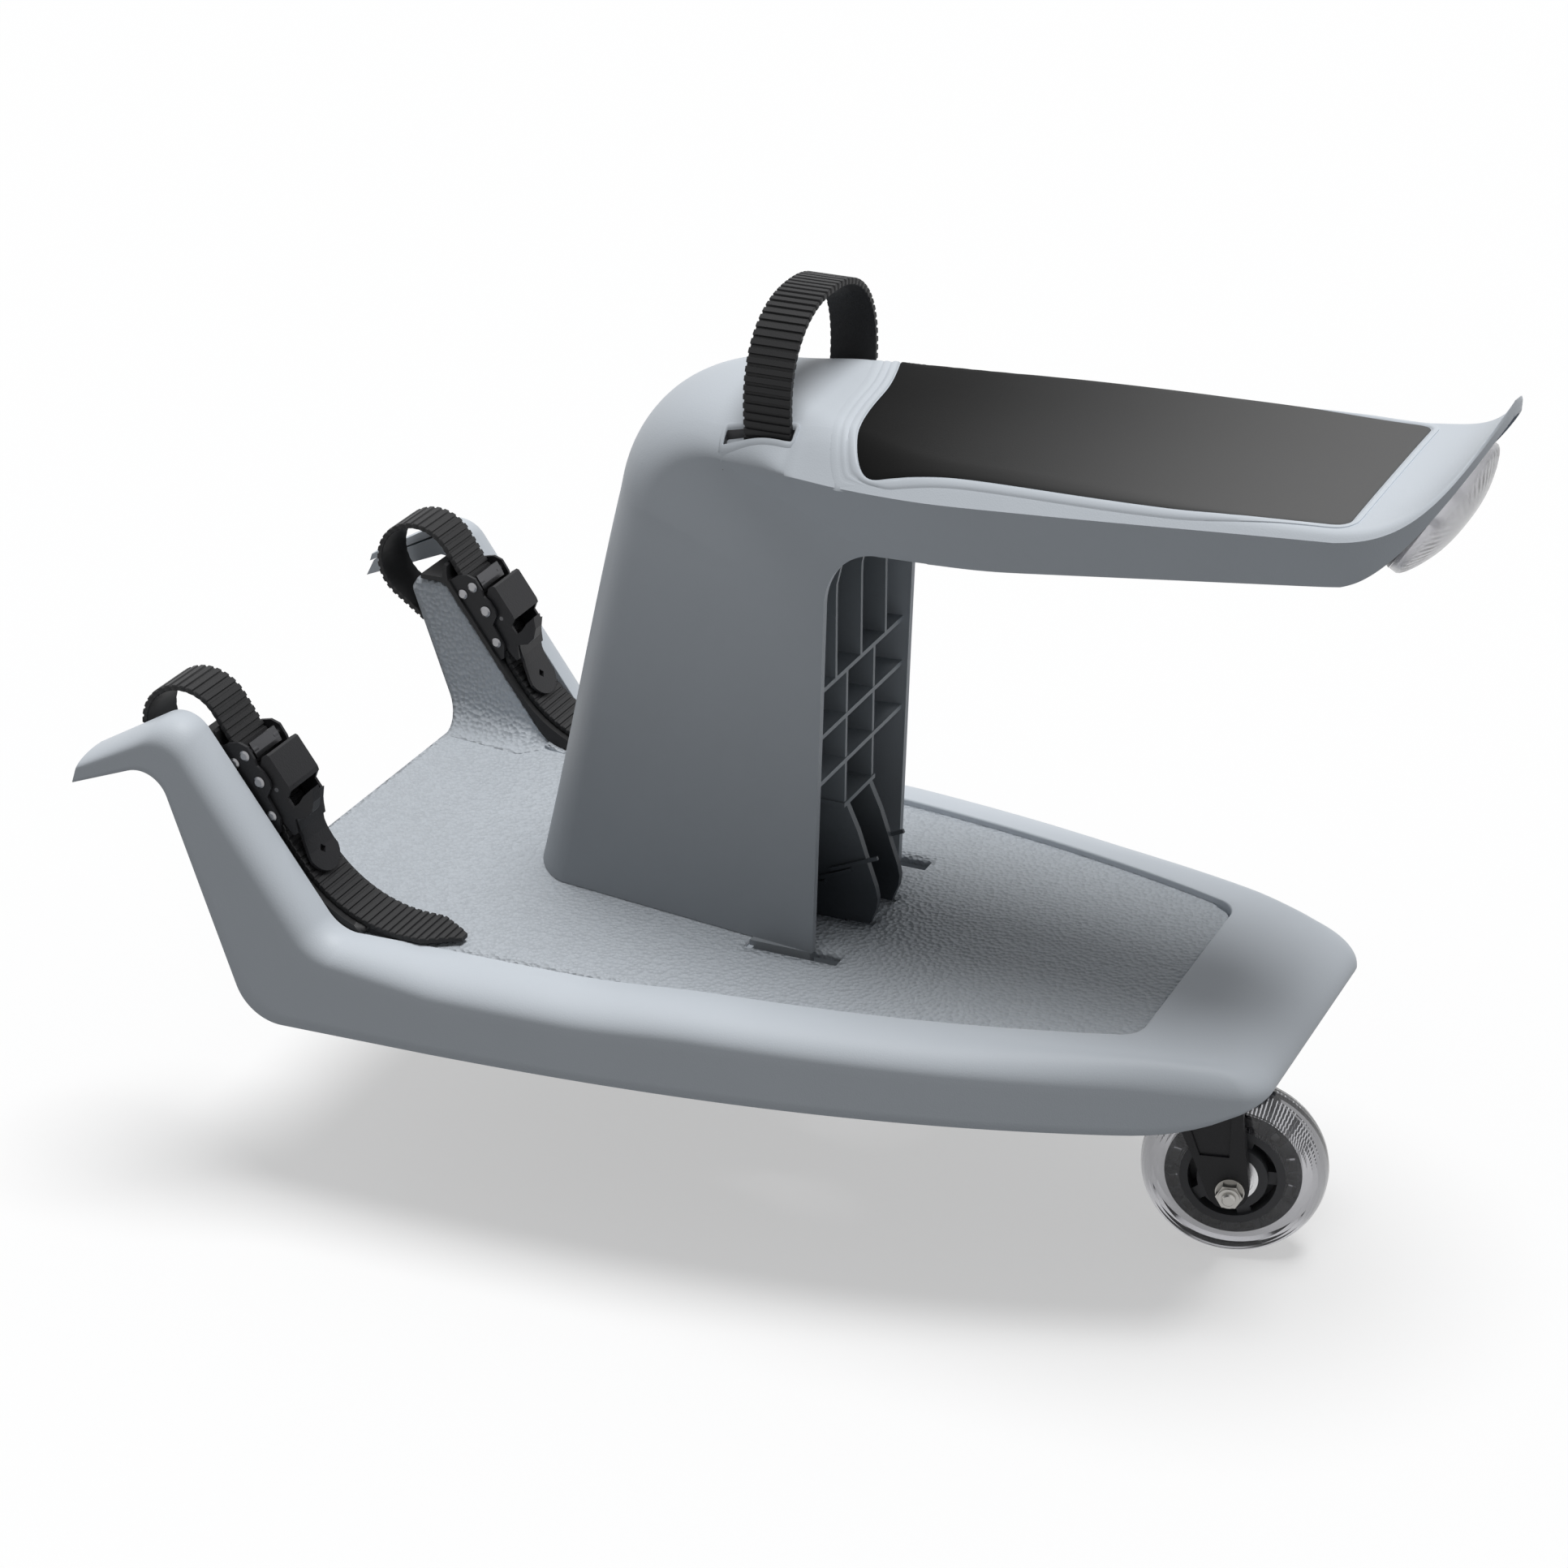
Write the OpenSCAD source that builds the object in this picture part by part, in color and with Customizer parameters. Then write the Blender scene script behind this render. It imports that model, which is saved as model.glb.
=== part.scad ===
// Buggy board: a ride-on board with a seat that hooks and straps on to a pushchair's rear axle.
// The rear end rolls on one swivelling castor. X runs from the hooks to the castor, Z is up,
// and the floor is at Z = 0 under the castor wheel.

/* [Board] */
// Half the width of the board across the hook arms
board_half_w = 134; // [125:1:145]
// How much each side draws in towards the rear end
side_taper = 54.5; // [45:0.5:62]
// Length over which the sides draw in
taper_length = 420; // [400:5:450]
// X of the front edge of the deck
deck_front_x = -223; // [-226:1:-218]
// X of the rear edge of the deck
deck_rear_x = 225; // [215:1:232]
// Height of the deck where the seat stands
deck_z = 128; // [126:0.5:130]
// Thickness of the deck plate
deck_t = 4; // [3:0.5:5]
// How much the deck rises towards the front edge
front_rise = 5; // [2:0.5:7]
// X where the front of the deck starts to rise
rise_x = -130; // [-140:1:-120]
// Height of the rim over the sunk panel of the deck
rim_rise = 3; // [2:0.25:4]
// Width of the rim round the sunk panel
rim_w = 25; // [22:1:28]
// X of the rear end of the sunk panel
panel_rear_x = 168; // [155:1:172]
// Width of the soft shoulder along the rim
shoulder_w = 20; // [16:1:21]
// Drop of the soft shoulder along the rim
shoulder_d = 12; // [9:0.5:13]
// Height of the lower edge of the skirt at the front
skirt_z = 87; // [84:1:92]
// Rise of the lower edge of the skirt from the front to the castor
skirt_rise = 10; // [6:1:14]
// Wall thickness of the board shell
board_wall = 3.6; // [3:0.2:4.2]
// Spacing of the cross ribs under the deck
rib_pitch = 42; // [34:1:60]
// Thickness of the ribs under the deck
rib_t = 2.4; // [1.8:0.2:3]

/* [Hook arms] */
// Width of the hook and of the raised outer part of the arm
hook_w = 18; // [16:1:20]
// Width of the strap channel beside it
channel_w = 31; // [30.5:0.5:33]
// Depth of the strap channel below the crown of the arm
channel_d = 5.5; // [4.5:0.25:6.5]
// X of the arm's crown line at the reference height
crown_x = -216; // [-219:1:-213]
// Reference height of the crown line
crown_z = 195; // [192:1:198]
// Slope of the arm's rear side from the horizontal
arm_slope = 54.5; // [53:0.5:56]
// X of the tip of the hook
hook_tip_x = -289.5; // [-293:0.5:-286]
// Height of the underside of the hook's tip
hook_tip_z = 184.3; // [182:0.5:187]
// Height of the hook's tip face
hook_tip_h = 13; // [11:0.5:14]
// Slope of the hook's top from the horizontal
hook_slope = 30; // [27:0.5:32]
// X of the arm's front edge at the lower edge of the skirt
stem_foot_x = -208.6; // [-211:0.2:-206]
// Lean of the arm's front edge from the vertical
stem_lean = 18.7; // [17:0.1:20]

/* [Straps and buckles] */
// Width of the ladder straps
strap_w = 24; // [22:0.5:24]
// Thickness of the strap band
strap_t = 1.6; // [1.2:0.1:1.8]
// Height of the ladder ribs on the strap
strap_rib_h = 1.1; // [0.8:0.1:1.2]
// Spacing of the ladder ribs
strap_pitch = 4; // [3.6:0.1:4.6]
// Inner radius of the strap loop that holds the pushchair's axle
loop_r = 18; // [16:0.1:20]
// Thickness of the liner under the buckle
liner_t = 2.5; // [2:0.25:3]
// Thickness of the buckle's side plates
cheek_t = 1.4; // [1.2:0.1:1.6]
// Length of the lever from its pivot to its end
lever_len = 52; // [46:1:56]
// Radius of the lever's pivot pin
pivot_r = 1.5; // [1.2:0.1:1.7]

/* [Seat] */
// Height of the seat's top over the deck at the front
seat_h = 215; // [205:1:225]
// Half the width of the seat column at the foot of its nose
nose_half_w = 33; // [30:1:36]
// Half the width of the seat beam
beam_half_w = 69; // [64:1:72]
// Half the width of the column at its open rear side
column_half_w = 48.5; // [46:0.5:50]
// X of the open rear side of the column
column_rear_x = 18.5; // [15:0.5:20]
// X of the foot of the side crease at the column's nose
crease_foot_x = -107; // [-112:1:-103]
// Lean of the column's front from the vertical
front_lean = 14.5; // [13:0.5:16]
// Depth of the rounded nose in front of the crease
nose_d = 24; // [20:1:26]
// Wall thickness of the seat moulding
seat_wall = 3.4; // [3:0.2:3.8]
// X of the tip of the tail
tail_tip_x = 289.5; // [285:0.5:292]
// How far the seat slides back to come out of its slots
seat_travel = 13.5; // [12:0.5:14]
// Thickness of the lattice ribs in the column
lattice_t = 2; // [1.6:0.2:2.6]
// Spacing of the lattice shelves
shelf_pitch = 20.8; // [19:0.2:22]
// Thickness of the seat pad
pad_t = 3; // [2.4:0.2:3.6]
// Width of the grab strap's arch between its feet
arch_w = 84; // [78:1:86]
// Height of the grab strap's arch over its feet
arch_h = 52; // [46:1:56]

/* [Castor] */
// Diameter of the wheel
wheel_d = 80; // [76:1:82]
// Width of the tyre
tyre_w = 24; // [22:0.5:26]
// Trail of the wheel behind the swivel axis
trail = 16; // [13:0.5:18]
// X of the swivel axis
swivel_x = 177; // [174:1:180]
// Angle at which the castor stands
castor_angle = 13.5; // [0:0.5:30]
// Diameter of the axle
axle_d = 6; // [5:0.5:7]
// Thickness of the fork's legs
leg_t = 7.5; // [6:0.25:8.5]
// Radius of the castor's stem
stem_r = 5.5; // [5:0.1:6]

/* [Hidden] */

$fn = 48;
eps = 0.01;
shell_colour = [0.70, 0.74, 0.78];
black = [0.10, 0.10, 0.11];
steel = [0.75, 0.76, 0.78];

// Shared geometry
function lerp(a, b, t) = a + (b - a) * t;
function smooth(t) = let (u = min(max(t, 0), 1)) u * u * (3 - 2 * u);
function unit(v) = v / norm(v);
// Where the line through p at angle a meets the line through q at angle b
function cross_point(p, a, q, b) =
  let (u = [cos(a), sin(a)], v = [cos(b), sin(b)], w = q - p)
  p + u * (w.x * v.y - w.y * v.x) / (u.x * v.y - u.y * v.x);
// Points of a corner at p, between a and c, rounded to radius r
function round_corner(a, p, c, r, n) =
  let (u = unit(a - p), v = unit(c - p))
  let (half = acos(u * v) / 2)
  let (o = p + unit(u + v) * r / sin(half))
  let (s = p + u * r / tan(half) - o, e = p + v * r / tan(half) - o)
  let (a0 = atan2(s.y, s.x), da = atan2(s.x * e.y - s.y * e.x, s * e))
  [for (i = [0:n]) o + r * [cos(a0 + da * i / n), sin(a0 + da * i / n)]];
// Skin over a run of closed sections that all have the same number of points. A paired section
// runs out along one face and back along the other, so that its ends close in strips
module skin(sections, paired = false) {
  m = len(sections[0]);
  n = len(sections);
  points = [for (s = sections) for (p = s) p];
  sides = [for (i = [0:n - 2]) for (j = [0:m - 1])
    let (a = i * m + j, b = i * m + (j + 1) % m)
    each [[a, b + m, b], [a, a + m, b + m]]];
  k = (n - 1) * m;
  ends = paired
    ? [for (j = [0:m / 2 - 2]) let (a = j, b = j + 1, c = m - 2 - j, d = m - 1 - j)
        each [[a, b, c], [a, c, d], [k + a, k + c, k + b], [k + a, k + d, k + c]]]
    : [[for (j = [0:m - 1]) j], [for (j = [m - 1:-1:0]) k + j]];
  polyhedron(points, concat(sides, ends), convexity = 10);
}
// A plate with its outline in X and Z, standing from y0 to y1
module upright(y0, y1, outline) {
  translate([0, y1, 0])
    rotate([90, 0, 0])
      linear_extrude(y1 - y0) polygon(outline);
}
module both_sides() {
  children();
  mirror([0, 1, 0]) children();
}

// Outline of the board in plan
taper_x = -226;
corner_r = 16;
function half_w(x) = board_half_w - side_taper * pow(max(x - taper_x, 0) / taper_length, 3);
function side_lean(x) = 3 * side_taper / taper_length * pow(max(x - taper_x, 0) / taper_length, 2);
function side_normal(x) = unit([side_lean(x), 1]);
corner_x = deck_rear_x - corner_r;
corner_start_x = corner_x + corner_r * side_normal(corner_x + 6).x;
corner_n = side_normal(corner_start_x);
corner_a = atan2(corner_n.y, corner_n.x);
corner_o = [corner_x, half_w(corner_start_x) - corner_r * corner_n.y];
// The inner edge of the rim turns the corner at a small radius of its own
inner_r = 2;
inner_o_x = deck_rear_x - rim_w - inner_r;
inner_o = [inner_o_x, half_w(corner_start_x)
  - (rim_w + inner_r + (inner_o_x - corner_start_x) * corner_n.x) / corner_n.y];
side_xs = [-125, -95, -62, -30, 0, 30, 60, 88, 112, 134, 152, 168, 182, 195, 206];
// Each station of the outline: a point of the outer edge and the point of the inner edge beside it
deck_plan = concat(
  [for (x = side_xs) let (p = [x, half_w(x)]) [p, p - side_normal(x) * rim_w]],
  [for (i = [0:5]) let (a = corner_a * (1 - i / 5), v = [cos(a), sin(a)])
    [corner_o + v * corner_r, inner_o + v * inner_r]],
  [for (i = [1:2]) [[deck_rear_x, corner_o.y * (1 - i / 2)],
    [deck_rear_x - rim_w, inner_o.y * (1 - i / 2)]]]);
function inset_plan(s) = let (half = [for (st = deck_plan) lerp(st[0], st[1], s / rim_w)])
  let (k = len(half))
  concat([[deck_front_x, board_half_w - s]], half,
    [for (i = [k - 2:-1:0]) [half[i].x, -half[i].y]], [[deck_front_x, s - board_half_w]]);

// Heights along the board
seam = 0.15;
function plate_z(x) = deck_z + front_rise * pow(max(rise_x - x, 0) / (rise_x - deck_front_x), 1.5);
bow_fall = 4;
function crown(x) = plate_z(x) + lerp(seam, rim_rise, smooth((x + 60) / 60))
  - bow_fall * smooth((x - panel_rear_x) / (deck_rear_x - panel_rear_x));
skirt_x0 = -199;
skirt_len = 374;
lip_h = 1;
function skirt_line(x) = skirt_z + 1 + skirt_rise * (x - skirt_x0) / skirt_len;
bow_x = 174;
bow_top = crown(deck_rear_x) - shoulder_d - lip_h;
bow_rise = bow_top - skirt_line(deck_rear_x);
function skirt_bottom(x) = skirt_line(x)
  + bow_rise * pow(max(x - bow_x, 0) / (deck_rear_x - bow_x), 2.2);

// Side view of the hook arms
crown_point = [crown_x, crown_z];
hook_bottom = [hook_tip_x, hook_tip_z];
hook_top = [hook_tip_x + 4.5, hook_tip_z + hook_tip_h];
stem_foot = [stem_foot_x, skirt_line(stem_foot_x)];
peak = cross_point(hook_top, hook_slope, crown_point, -arm_slope);
under_slope = 21.3;
armpit = cross_point(hook_bottom, under_slope, stem_foot, 90 + stem_lean);
foot_z = 132;
foot_r2 = 22;
foot = cross_point(crown_point, -arm_slope, [0, foot_z], 0);
rail_start = [side_xs[0], crown(side_xs[0])];
crown_path = concat([hook_top, lerp(hook_top, peak, 0.4)],
  round_corner(hook_top, peak, foot, 14, 8),
  round_corner(peak, foot, rail_start, 30, 6));
under_path = concat([hook_bottom, lerp(hook_bottom, armpit, 0.45)],
  round_corner(hook_bottom, armpit, stem_foot, 14, 8),
  round_corner(armpit, stem_foot, [rail_start.x, skirt_line(rail_start.x)], foot_r2, 6));

// Section of the rim: each row is the inset from the outer face and the drop below the crown
arm_shoulder = 14;
rim_lip = 7.6;
full_depth = 26;
function rim_rows(rim, wide, deep, depth) = concat(
  [for (k = [0:6]) [wide * (1 - cos(15 * k)), deep * (1 - sin(15 * k))]],
  let (q = min(1, depth / full_depth), r = rim / rim_w)
  [[rim, 0], [rim, rim_lip * q], [rim - 2.5, rim_lip * q], [rim - 2.5, deck_t * q],
   [16 * r, deck_t * q], [9 * r, 5.8 * q], [5, 8.5 * q], [board_wall, min(14, depth - 0.8) * q]]);
function arm_section(t, b) =
  let (depth = norm(t - b), q = min(1, depth / full_depth), y = half_w(t.x), d = (b - t) / depth)
  concat([[b.x, y, b.y]],
    [for (r = rim_rows(hook_w, arm_shoulder, shoulder_d * q, depth))
      [t.x + d.x * r[1], y - r[0], t.y + d.y * r[1]]],
    [[b.x, y - board_wall, b.y]]);
function deck_section(st) =
  let (zb = skirt_bottom(st[0].x), depth = crown(st[0].x) - zb)
  let (low = lerp(st[0], st[1], board_wall / rim_w))
  concat([[st[0].x, st[0].y, zb]],
    [for (r = rim_rows(rim_w, shoulder_w, shoulder_d, depth))
      let (p = lerp(st[0], st[1], r[0] / rim_w)) [p.x, p.y, crown(p.x) - r[1]]],
    [[low.x, low.y, zb]]);
half_rail = concat(
  [for (i = [0:len(crown_path) - 1]) arm_section(crown_path[i], under_path[i])],
  [for (st = deck_plan) deck_section(st)]);

module rail() {
  k = len(half_rail);
  skin(concat(half_rail,
    [for (i = [k - 2:-1:0]) [for (p = half_rail[i]) [p.x, -p.y, p.z]]]));
}

// Deck, its recess and the bow behind it
top_xs = [deck_front_x, -210, -195, -180, -165, -152, -140, rise_x];
bow_xs = [168, 176, 186, 196, 206, 216, deck_rear_x];
recess_half = half_w(panel_rear_x) - rim_w * 1.06;
module plan_prism(s, z0, z1) {
  translate([0, 0, z0])
    linear_extrude(z1 - z0) polygon(inset_plan(s));
}
module deck_plate() {
  y = board_half_w - hook_w - board_wall / 2;
  top = concat([for (x = top_xs) [x, plate_z(x)]], [[panel_rear_x + 4, deck_z]]);
  sheet = concat(top, [for (i = [len(top) - 1:-1:0]) top[i] - [0, deck_t]]);
  intersection() {
    upright(-y, y, sheet);
    union() {
      plan_prism(rim_w - 1, 0, 2 * deck_z);
      translate([-300, 2 - arm_in, 0]) cube([180, 2 * arm_in - 4, 2 * deck_z]);
      translate([foot.x, -y, 0]) cube([60, 2 * y, 2 * deck_z]);
    }
  }
  // The bow rises from the rear end of the sunk panel
  recess_corner = round_corner([panel_rear_x - 30, half_w(panel_rear_x - 30) - rim_w],
    [panel_rear_x + 1, recess_half], [panel_rear_x + 1, 0], 12, 6);
  difference() {
    intersection() {
      upright(-board_half_w, board_half_w, concat([for (x = bow_xs) [x, crown(x) - seam]],
        [for (i = [len(bow_xs) - 1:-1:0]) [bow_xs[i], crown(bow_xs[i]) - deck_t]]));
      plan_prism(rim_w - 1, 0, 2 * deck_z);
    }
    translate([0, 0, deck_z])
      linear_extrude(20) polygon(concat([[panel_rear_x - 30, recess_half]], recess_corner,
        [for (i = [6:-1:0]) [recess_corner[i].x, -recess_corner[i].y]],
        [[panel_rear_x - 30, -recess_half]]));
  }
}
// Front wall of the deck, following the front edge of the arms down and under
function stem_x(z) = stem_foot_x - (z - stem_foot.y) * tan(stem_lean);
foot_turn = [unit(armpit - stem_foot), unit([rail_start.x, skirt_line(rail_start.x)] - stem_foot)];
foot_o = stem_foot + unit(foot_turn[0] + foot_turn[1]) * foot_r2
  / sin(acos(foot_turn[0] * foot_turn[1]) / 2);
front_bend = round_corner(armpit, stem_foot, [rail_start.x, skirt_line(rail_start.x)], foot_r2, 6);
function front_off(d) = concat([[stem_x(plate_z(deck_front_x)) + d, plate_z(deck_front_x) - 0.4]],
  [for (q = front_bend) foot_o + (q - foot_o) * (foot_r2 - d) / foot_r2]);
module front_wall() {
  out = front_off(0.3);
  in = front_off(0.3 + board_wall);
  upright(2 - board_half_w, board_half_w - 2, concat(out, [for (i = [6:-1:0]) in[i]]));
}

// Channel floor of an arm and the walls that carry it
arm_out = board_half_w - hook_w + 1;
arm_in = board_half_w - hook_w - channel_w + 1;
slope_n = [sin(arm_slope), cos(arm_slope)];
slope_d = [cos(arm_slope), -sin(arm_slope)];
// A point of the arm by its way down the slope and its height over the crown
function at(s, t) = crown_point + slope_d * s + slope_n * t;
saddle_front = [stem_x(200) + 3.5, 203.5];
saddle_rear = crown_point - slope_n * channel_d - slope_d * 14.5;
floor_foot = cross_point(crown_point - slope_n * channel_d, -arm_slope, [0, deck_z - 1], 0);
floor_line = concat([[stem_x(199.5), 199.5], saddle_front],
  round_corner(saddle_front, saddle_rear, floor_foot, 6, 4),
  round_corner(saddle_rear, floor_foot, [rise_x, deck_z - 3], 26, 12));
floor_t = 4;
arm_wall = 2.2;
arm_low = deck_z - 3;
module arm_inside() {
  // Thin sides and a floor: the arm is open in front and below
  under = [for (s = [-16, 81]) at(s, -channel_d - floor_t)];
  difference() {
    upright(arm_in, arm_out, concat(floor_line, [[floor_foot.x + 12, arm_low], [stem_x(arm_low),
      arm_low]]));
    upright(arm_in + arm_wall, arm_out - arm_wall, [[stem_x(195), 195] + [-9, -3], [stem_x(195),
      195] + [3, 2.4],
      under[0], under[1], under[1] - [0, 20], [stem_x(100) - 20, 100]]);
  }
  // Solid heart of the hook
  upright(arm_out - 1.4, board_half_w - 3, [hook_top + [1, -2.5], lerp(hook_top, peak, 0.75) - [0, 3],
    peak + [2, -9], armpit + [9, 0], armpit + [1, 3], hook_bottom + [1.2, 1.6]]);
}

// Ribs under the deck
rib_foot = 6;
module ribs() {
  intersection() {
    union() {
      plan_prism(board_wall - 1, skirt_z, 112);
      plan_prism(15, 111, deck_z);
    }
    union() {
      both_sides()
        for (y = [26, 78])
          upright(y, y + rib_t, [[deck_front_x + 4, deck_z - 2], [panel_rear_x, deck_z - 2],
            [panel_rear_x + 20, crown(panel_rear_x + 20) - 3], [panel_rear_x + 40, 122],
            [panel_rear_x + 20, skirt_line(190) + 10], [0, skirt_line(0) + rib_foot],
            [stem_x(95) + 2, skirt_z + rib_foot + 1]]);
      for (x = [-200 + rib_pitch / 2:rib_pitch:swivel_x])
        translate([x, -board_half_w, skirt_line(x) + rib_foot])
          cube([rib_t, 2 * board_half_w, deck_z - 2 - skirt_line(x) - rib_foot]);
    }
  }
}
// Slots that take the tabs of the seat
slot_x0 = -11;
tab_x1 = 17.5;
slot_x1 = tab_x1 + seat_travel + 0.8;
slot_y0 = 43.4;
slot_y1 = 53.9;
fin_y = 12;
fin_slot_w = 4.4;
module seat_slots() {
  both_sides() {
    translate([slot_x0, slot_y0, deck_z - 10]) cube([slot_x1 - slot_x0, slot_y1 - slot_y0, 20]);
    translate([slot_x0, fin_y - fin_slot_w / 2, deck_z - 10])
      cube([slot_x1 - slot_x0, fin_slot_w, 20]);
  }
}
// Room below the deck for the feet of the tabs
module slot_room() {
  both_sides() {
    translate([-26, slot_y0 - 2, deck_z - 12]) cube([62, slot_y1 - slot_y0 + 4, 12 - deck_t]);
    translate([-26, fin_y - 4.5, deck_z - 12]) cube([62, 9, 12 - deck_t]);
  }
}
boss_r = 17.5;
boss_z = 93.5;
socket_r = 8.5;
socket_top = 124;
module castor_boss() {
  translate([swivel_x, 0, boss_z]) cylinder(r = boss_r, h = deck_z - boss_z, $fn = 96);
  for (a = [90, 180, 270])
    translate([swivel_x, 0, boss_z + 6])
      rotate([0, 0, a]) translate([boss_r - 2, -rib_t / 2, 0]) cube([14, rib_t, deck_z - boss_z - 6]);
}

module board_shell() {
  color(shell_colour)
  difference() {
    union() {
      rail();
      deck_plate();
      front_wall();
      both_sides() arm_inside();
      difference() {
        ribs();
        slot_room();
      }
      castor_boss();
    }
    seat_slots();
    translate([swivel_x, 0, boss_z - 1]) cylinder(r = socket_r, h = socket_top - boss_z + 2, $fn = 64);
    both_sides() strap_hole();
  }
}
strap_y = board_half_w - hook_w - channel_w / 2;
// Local frame of an arm: X down the slope, Z out of the crown line
module arm_frame(side) {
  translate([crown_point.x, side * strap_y, crown_point.y])
    rotate([0, arm_slope, 0]) children();
}
bolt_s = 53;
bolt_r = 2.5;
module strap_hole() {
  arm_frame(1) translate([bolt_s, 0, -channel_d - 8]) cylinder(r = bolt_r + 0.2, h = 10, $fn = 32);
}

// Castor: a sleeve in the board, a stem with a grip ring, a fork and the wheel
flange_r = 14;
flange_z = 91.9;
stem_fit = 0.05;
ring_z = 120;
module castor_socket() {
  color(black)
  translate([swivel_x, 0, 0])
    difference() {
      union() {
        translate([0, 0, flange_z]) cylinder(r = flange_r, h = boss_z - flange_z, $fn = 64);
        translate([0, 0, flange_z]) cylinder(r = socket_r, h = socket_top - flange_z, $fn = 64);
      }
      translate([0, 0, flange_z - 1]) cylinder(r = stem_r + stem_fit, h = 60, $fn = 64);
      translate([0, 0, ring_z - 0.5]) cylinder(r = stem_r + 1.7, h = 20, $fn = 64);
    }
}
ring_h = 1.2;
groove_d = 0.9;
module castor_frame() {
  translate([swivel_x, 0, 0]) rotate([0, 0, castor_angle]) children();
}
module grip_ring() {
  color(steel)
  castor_frame()
    translate([0, 0, ring_z])
      difference() {
        cylinder(r = stem_r + 1.3, h = ring_h, $fn = 64);
        translate([0, 0, -1]) cylinder(r = stem_r - groove_d, h = 4, $fn = 64);
        translate([0, -1.5, -1]) cube([10, 3, 4]);
      }
}
bridge_z = wheel_d + 4;
bridge_h = 6;
washer_h = 1.5;
module thrust_washer() {
  color([0.85, 0.85, 0.82])
  castor_frame()
    translate([0, 0, bridge_z + bridge_h])
      difference() {
        cylinder(r = flange_r - 1, h = washer_h, $fn = 64);
        translate([0, 0, -1]) cylinder(r = stem_r + 0.3, h = 4, $fn = 64);
      }
}
module castor_stem() {
  color(steel)
  castor_frame()
    rotate_extrude($fn = 64) polygon([[0, bridge_z - 1.5], [stem_r + 2.5, bridge_z - 1.5],
      [stem_r + 2.5, bridge_z], [stem_r, bridge_z], [stem_r, ring_z], [stem_r - groove_d, ring_z],
      [stem_r - groove_d, ring_z + ring_h], [stem_r, ring_z + ring_h], [stem_r, ring_z + 2.2],
      [stem_r - 1, ring_z + 3.2], [0, ring_z + 3.2]]);
}
wheel_z = wheel_d / 2;
fork_in = tyre_w / 2 + 3;
fork_out = fork_in + leg_t;
foot_r = 9;
axle_r = axle_d / 2;
// Side outline of a fork leg, measured from the wheel's centre
leg_outline = concat(
  [[-30, bridge_z + bridge_h], [-29, bridge_z - 1], [-22.9, 69.3], [-16.8, 55.8]],
  [for (a = [200:20:360]) [foot_r * cos(a) - 1, wheel_z + foot_r * sin(a)]],
  [[7.4, 46.7], [4.2, 69.2], [3.5, 80.8], [2, bridge_z + bridge_h]]);
module castor_fork() {
  color(black)
  castor_frame()
    difference() {
      union() {
        both_sides()
          translate([trail, 0, 0]) upright(fork_in, fork_out, leg_outline);
        translate([trail - 30, -fork_in - 1, bridge_z]) cube([32, 2 * fork_in + 2, bridge_h]);
        translate([0, 0, bridge_z]) cylinder(r = flange_r, h = bridge_h, $fn = 64);
      }
      translate([0, 0, bridge_z - 1]) cylinder(r = stem_r, h = bridge_h + 2, $fn = 64);
      translate([0, 0, bridge_z - 2]) cylinder(r = stem_r + 2.7, h = 2, $fn = 64);
      translate([trail, 0, wheel_z]) rotate([90, 0, 0])
        cylinder(r = axle_r + 0.05, h = 2 * fork_out + 4, center = true, $fn = 64);
      // The legs are relieved on the outside
      both_sides()
        translate([trail, 0, 0]) upright(fork_out - 1.2, fork_out + 1,
          [[-24, 84], [-13.5, 56], [-1, 56], [-1, 84]]);
    }
}
module axle_frame() {
  castor_frame() translate([trail, 0, wheel_z]) rotate([90, 0, 0]) children();
}
nut_h = 5.5;
nut_af = 10;
washer_t = 1.2;
module wheel_axle() {
  color(steel)
  axle_frame()
    rotate_extrude($fn = 64) polygon([[0, -fork_out - 4.5], [4.6, -fork_out - 4.5],
      [5.2, -fork_out - 4], [5.2, -fork_out - washer_t], [axle_r, -fork_out - washer_t],
      [axle_r, fork_out + washer_t + nut_h + 1], [axle_r - 0.8, fork_out + washer_t + nut_h + 1.8],
      [0, fork_out + washer_t + nut_h + 1.8]]);
}
module axle_nut() {
  color(steel)
  axle_frame()
    translate([0, 0, fork_out + washer_t])
      difference() {
        union() {
          cylinder(d = nut_af / cos(30), h = nut_h - 1.2, $fn = 6);
          cylinder(d = nut_af - 0.8, h = nut_h, $fn = 48);
        }
        translate([0, 0, -1]) cylinder(r = axle_r, h = nut_h + 2, $fn = 64);
      }
}
module axle_washers() {
  color(steel)
  axle_frame()
    for (z = [-fork_out - washer_t, fork_out])
      translate([0, 0, z])
        difference() {
          cylinder(r = 6.2, h = washer_t, $fn = 64);
          translate([0, 0, -1]) cylinder(r = axle_r + 0.1, h = washer_t + 2, $fn = 64);
        }
}
bearing_w = 7;
bearing_in_r = 4;
bearing_out_r = 11;
module axle_spacer() {
  color([0.8, 0.8, 0.82])
  axle_frame()
    rotate_extrude($fn = 64) polygon([[axle_r + 0.05, -fork_in], [6, -fork_in],
      [6, -tyre_w / 2], [bearing_in_r, -tyre_w / 2], [bearing_in_r, bearing_w - tyre_w / 2],
      [5.5, bearing_w - tyre_w / 2], [5.5, tyre_w / 2 - bearing_w], [bearing_in_r, tyre_w / 2 - bearing_w],
      [bearing_in_r, tyre_w / 2], [6, tyre_w / 2], [6, fork_in], [axle_r + 0.05, fork_in]]);
}
module bearing_pair(r0, r1) {
  axle_frame()
    for (z = [-tyre_w / 2, tyre_w / 2 - bearing_w])
      translate([0, 0, z])
        difference() {
          cylinder(r = r1, h = bearing_w, $fn = 64);
          translate([0, 0, -1]) cylinder(r = r0, h = bearing_w + 2, $fn = 64);
        }
}
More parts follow.
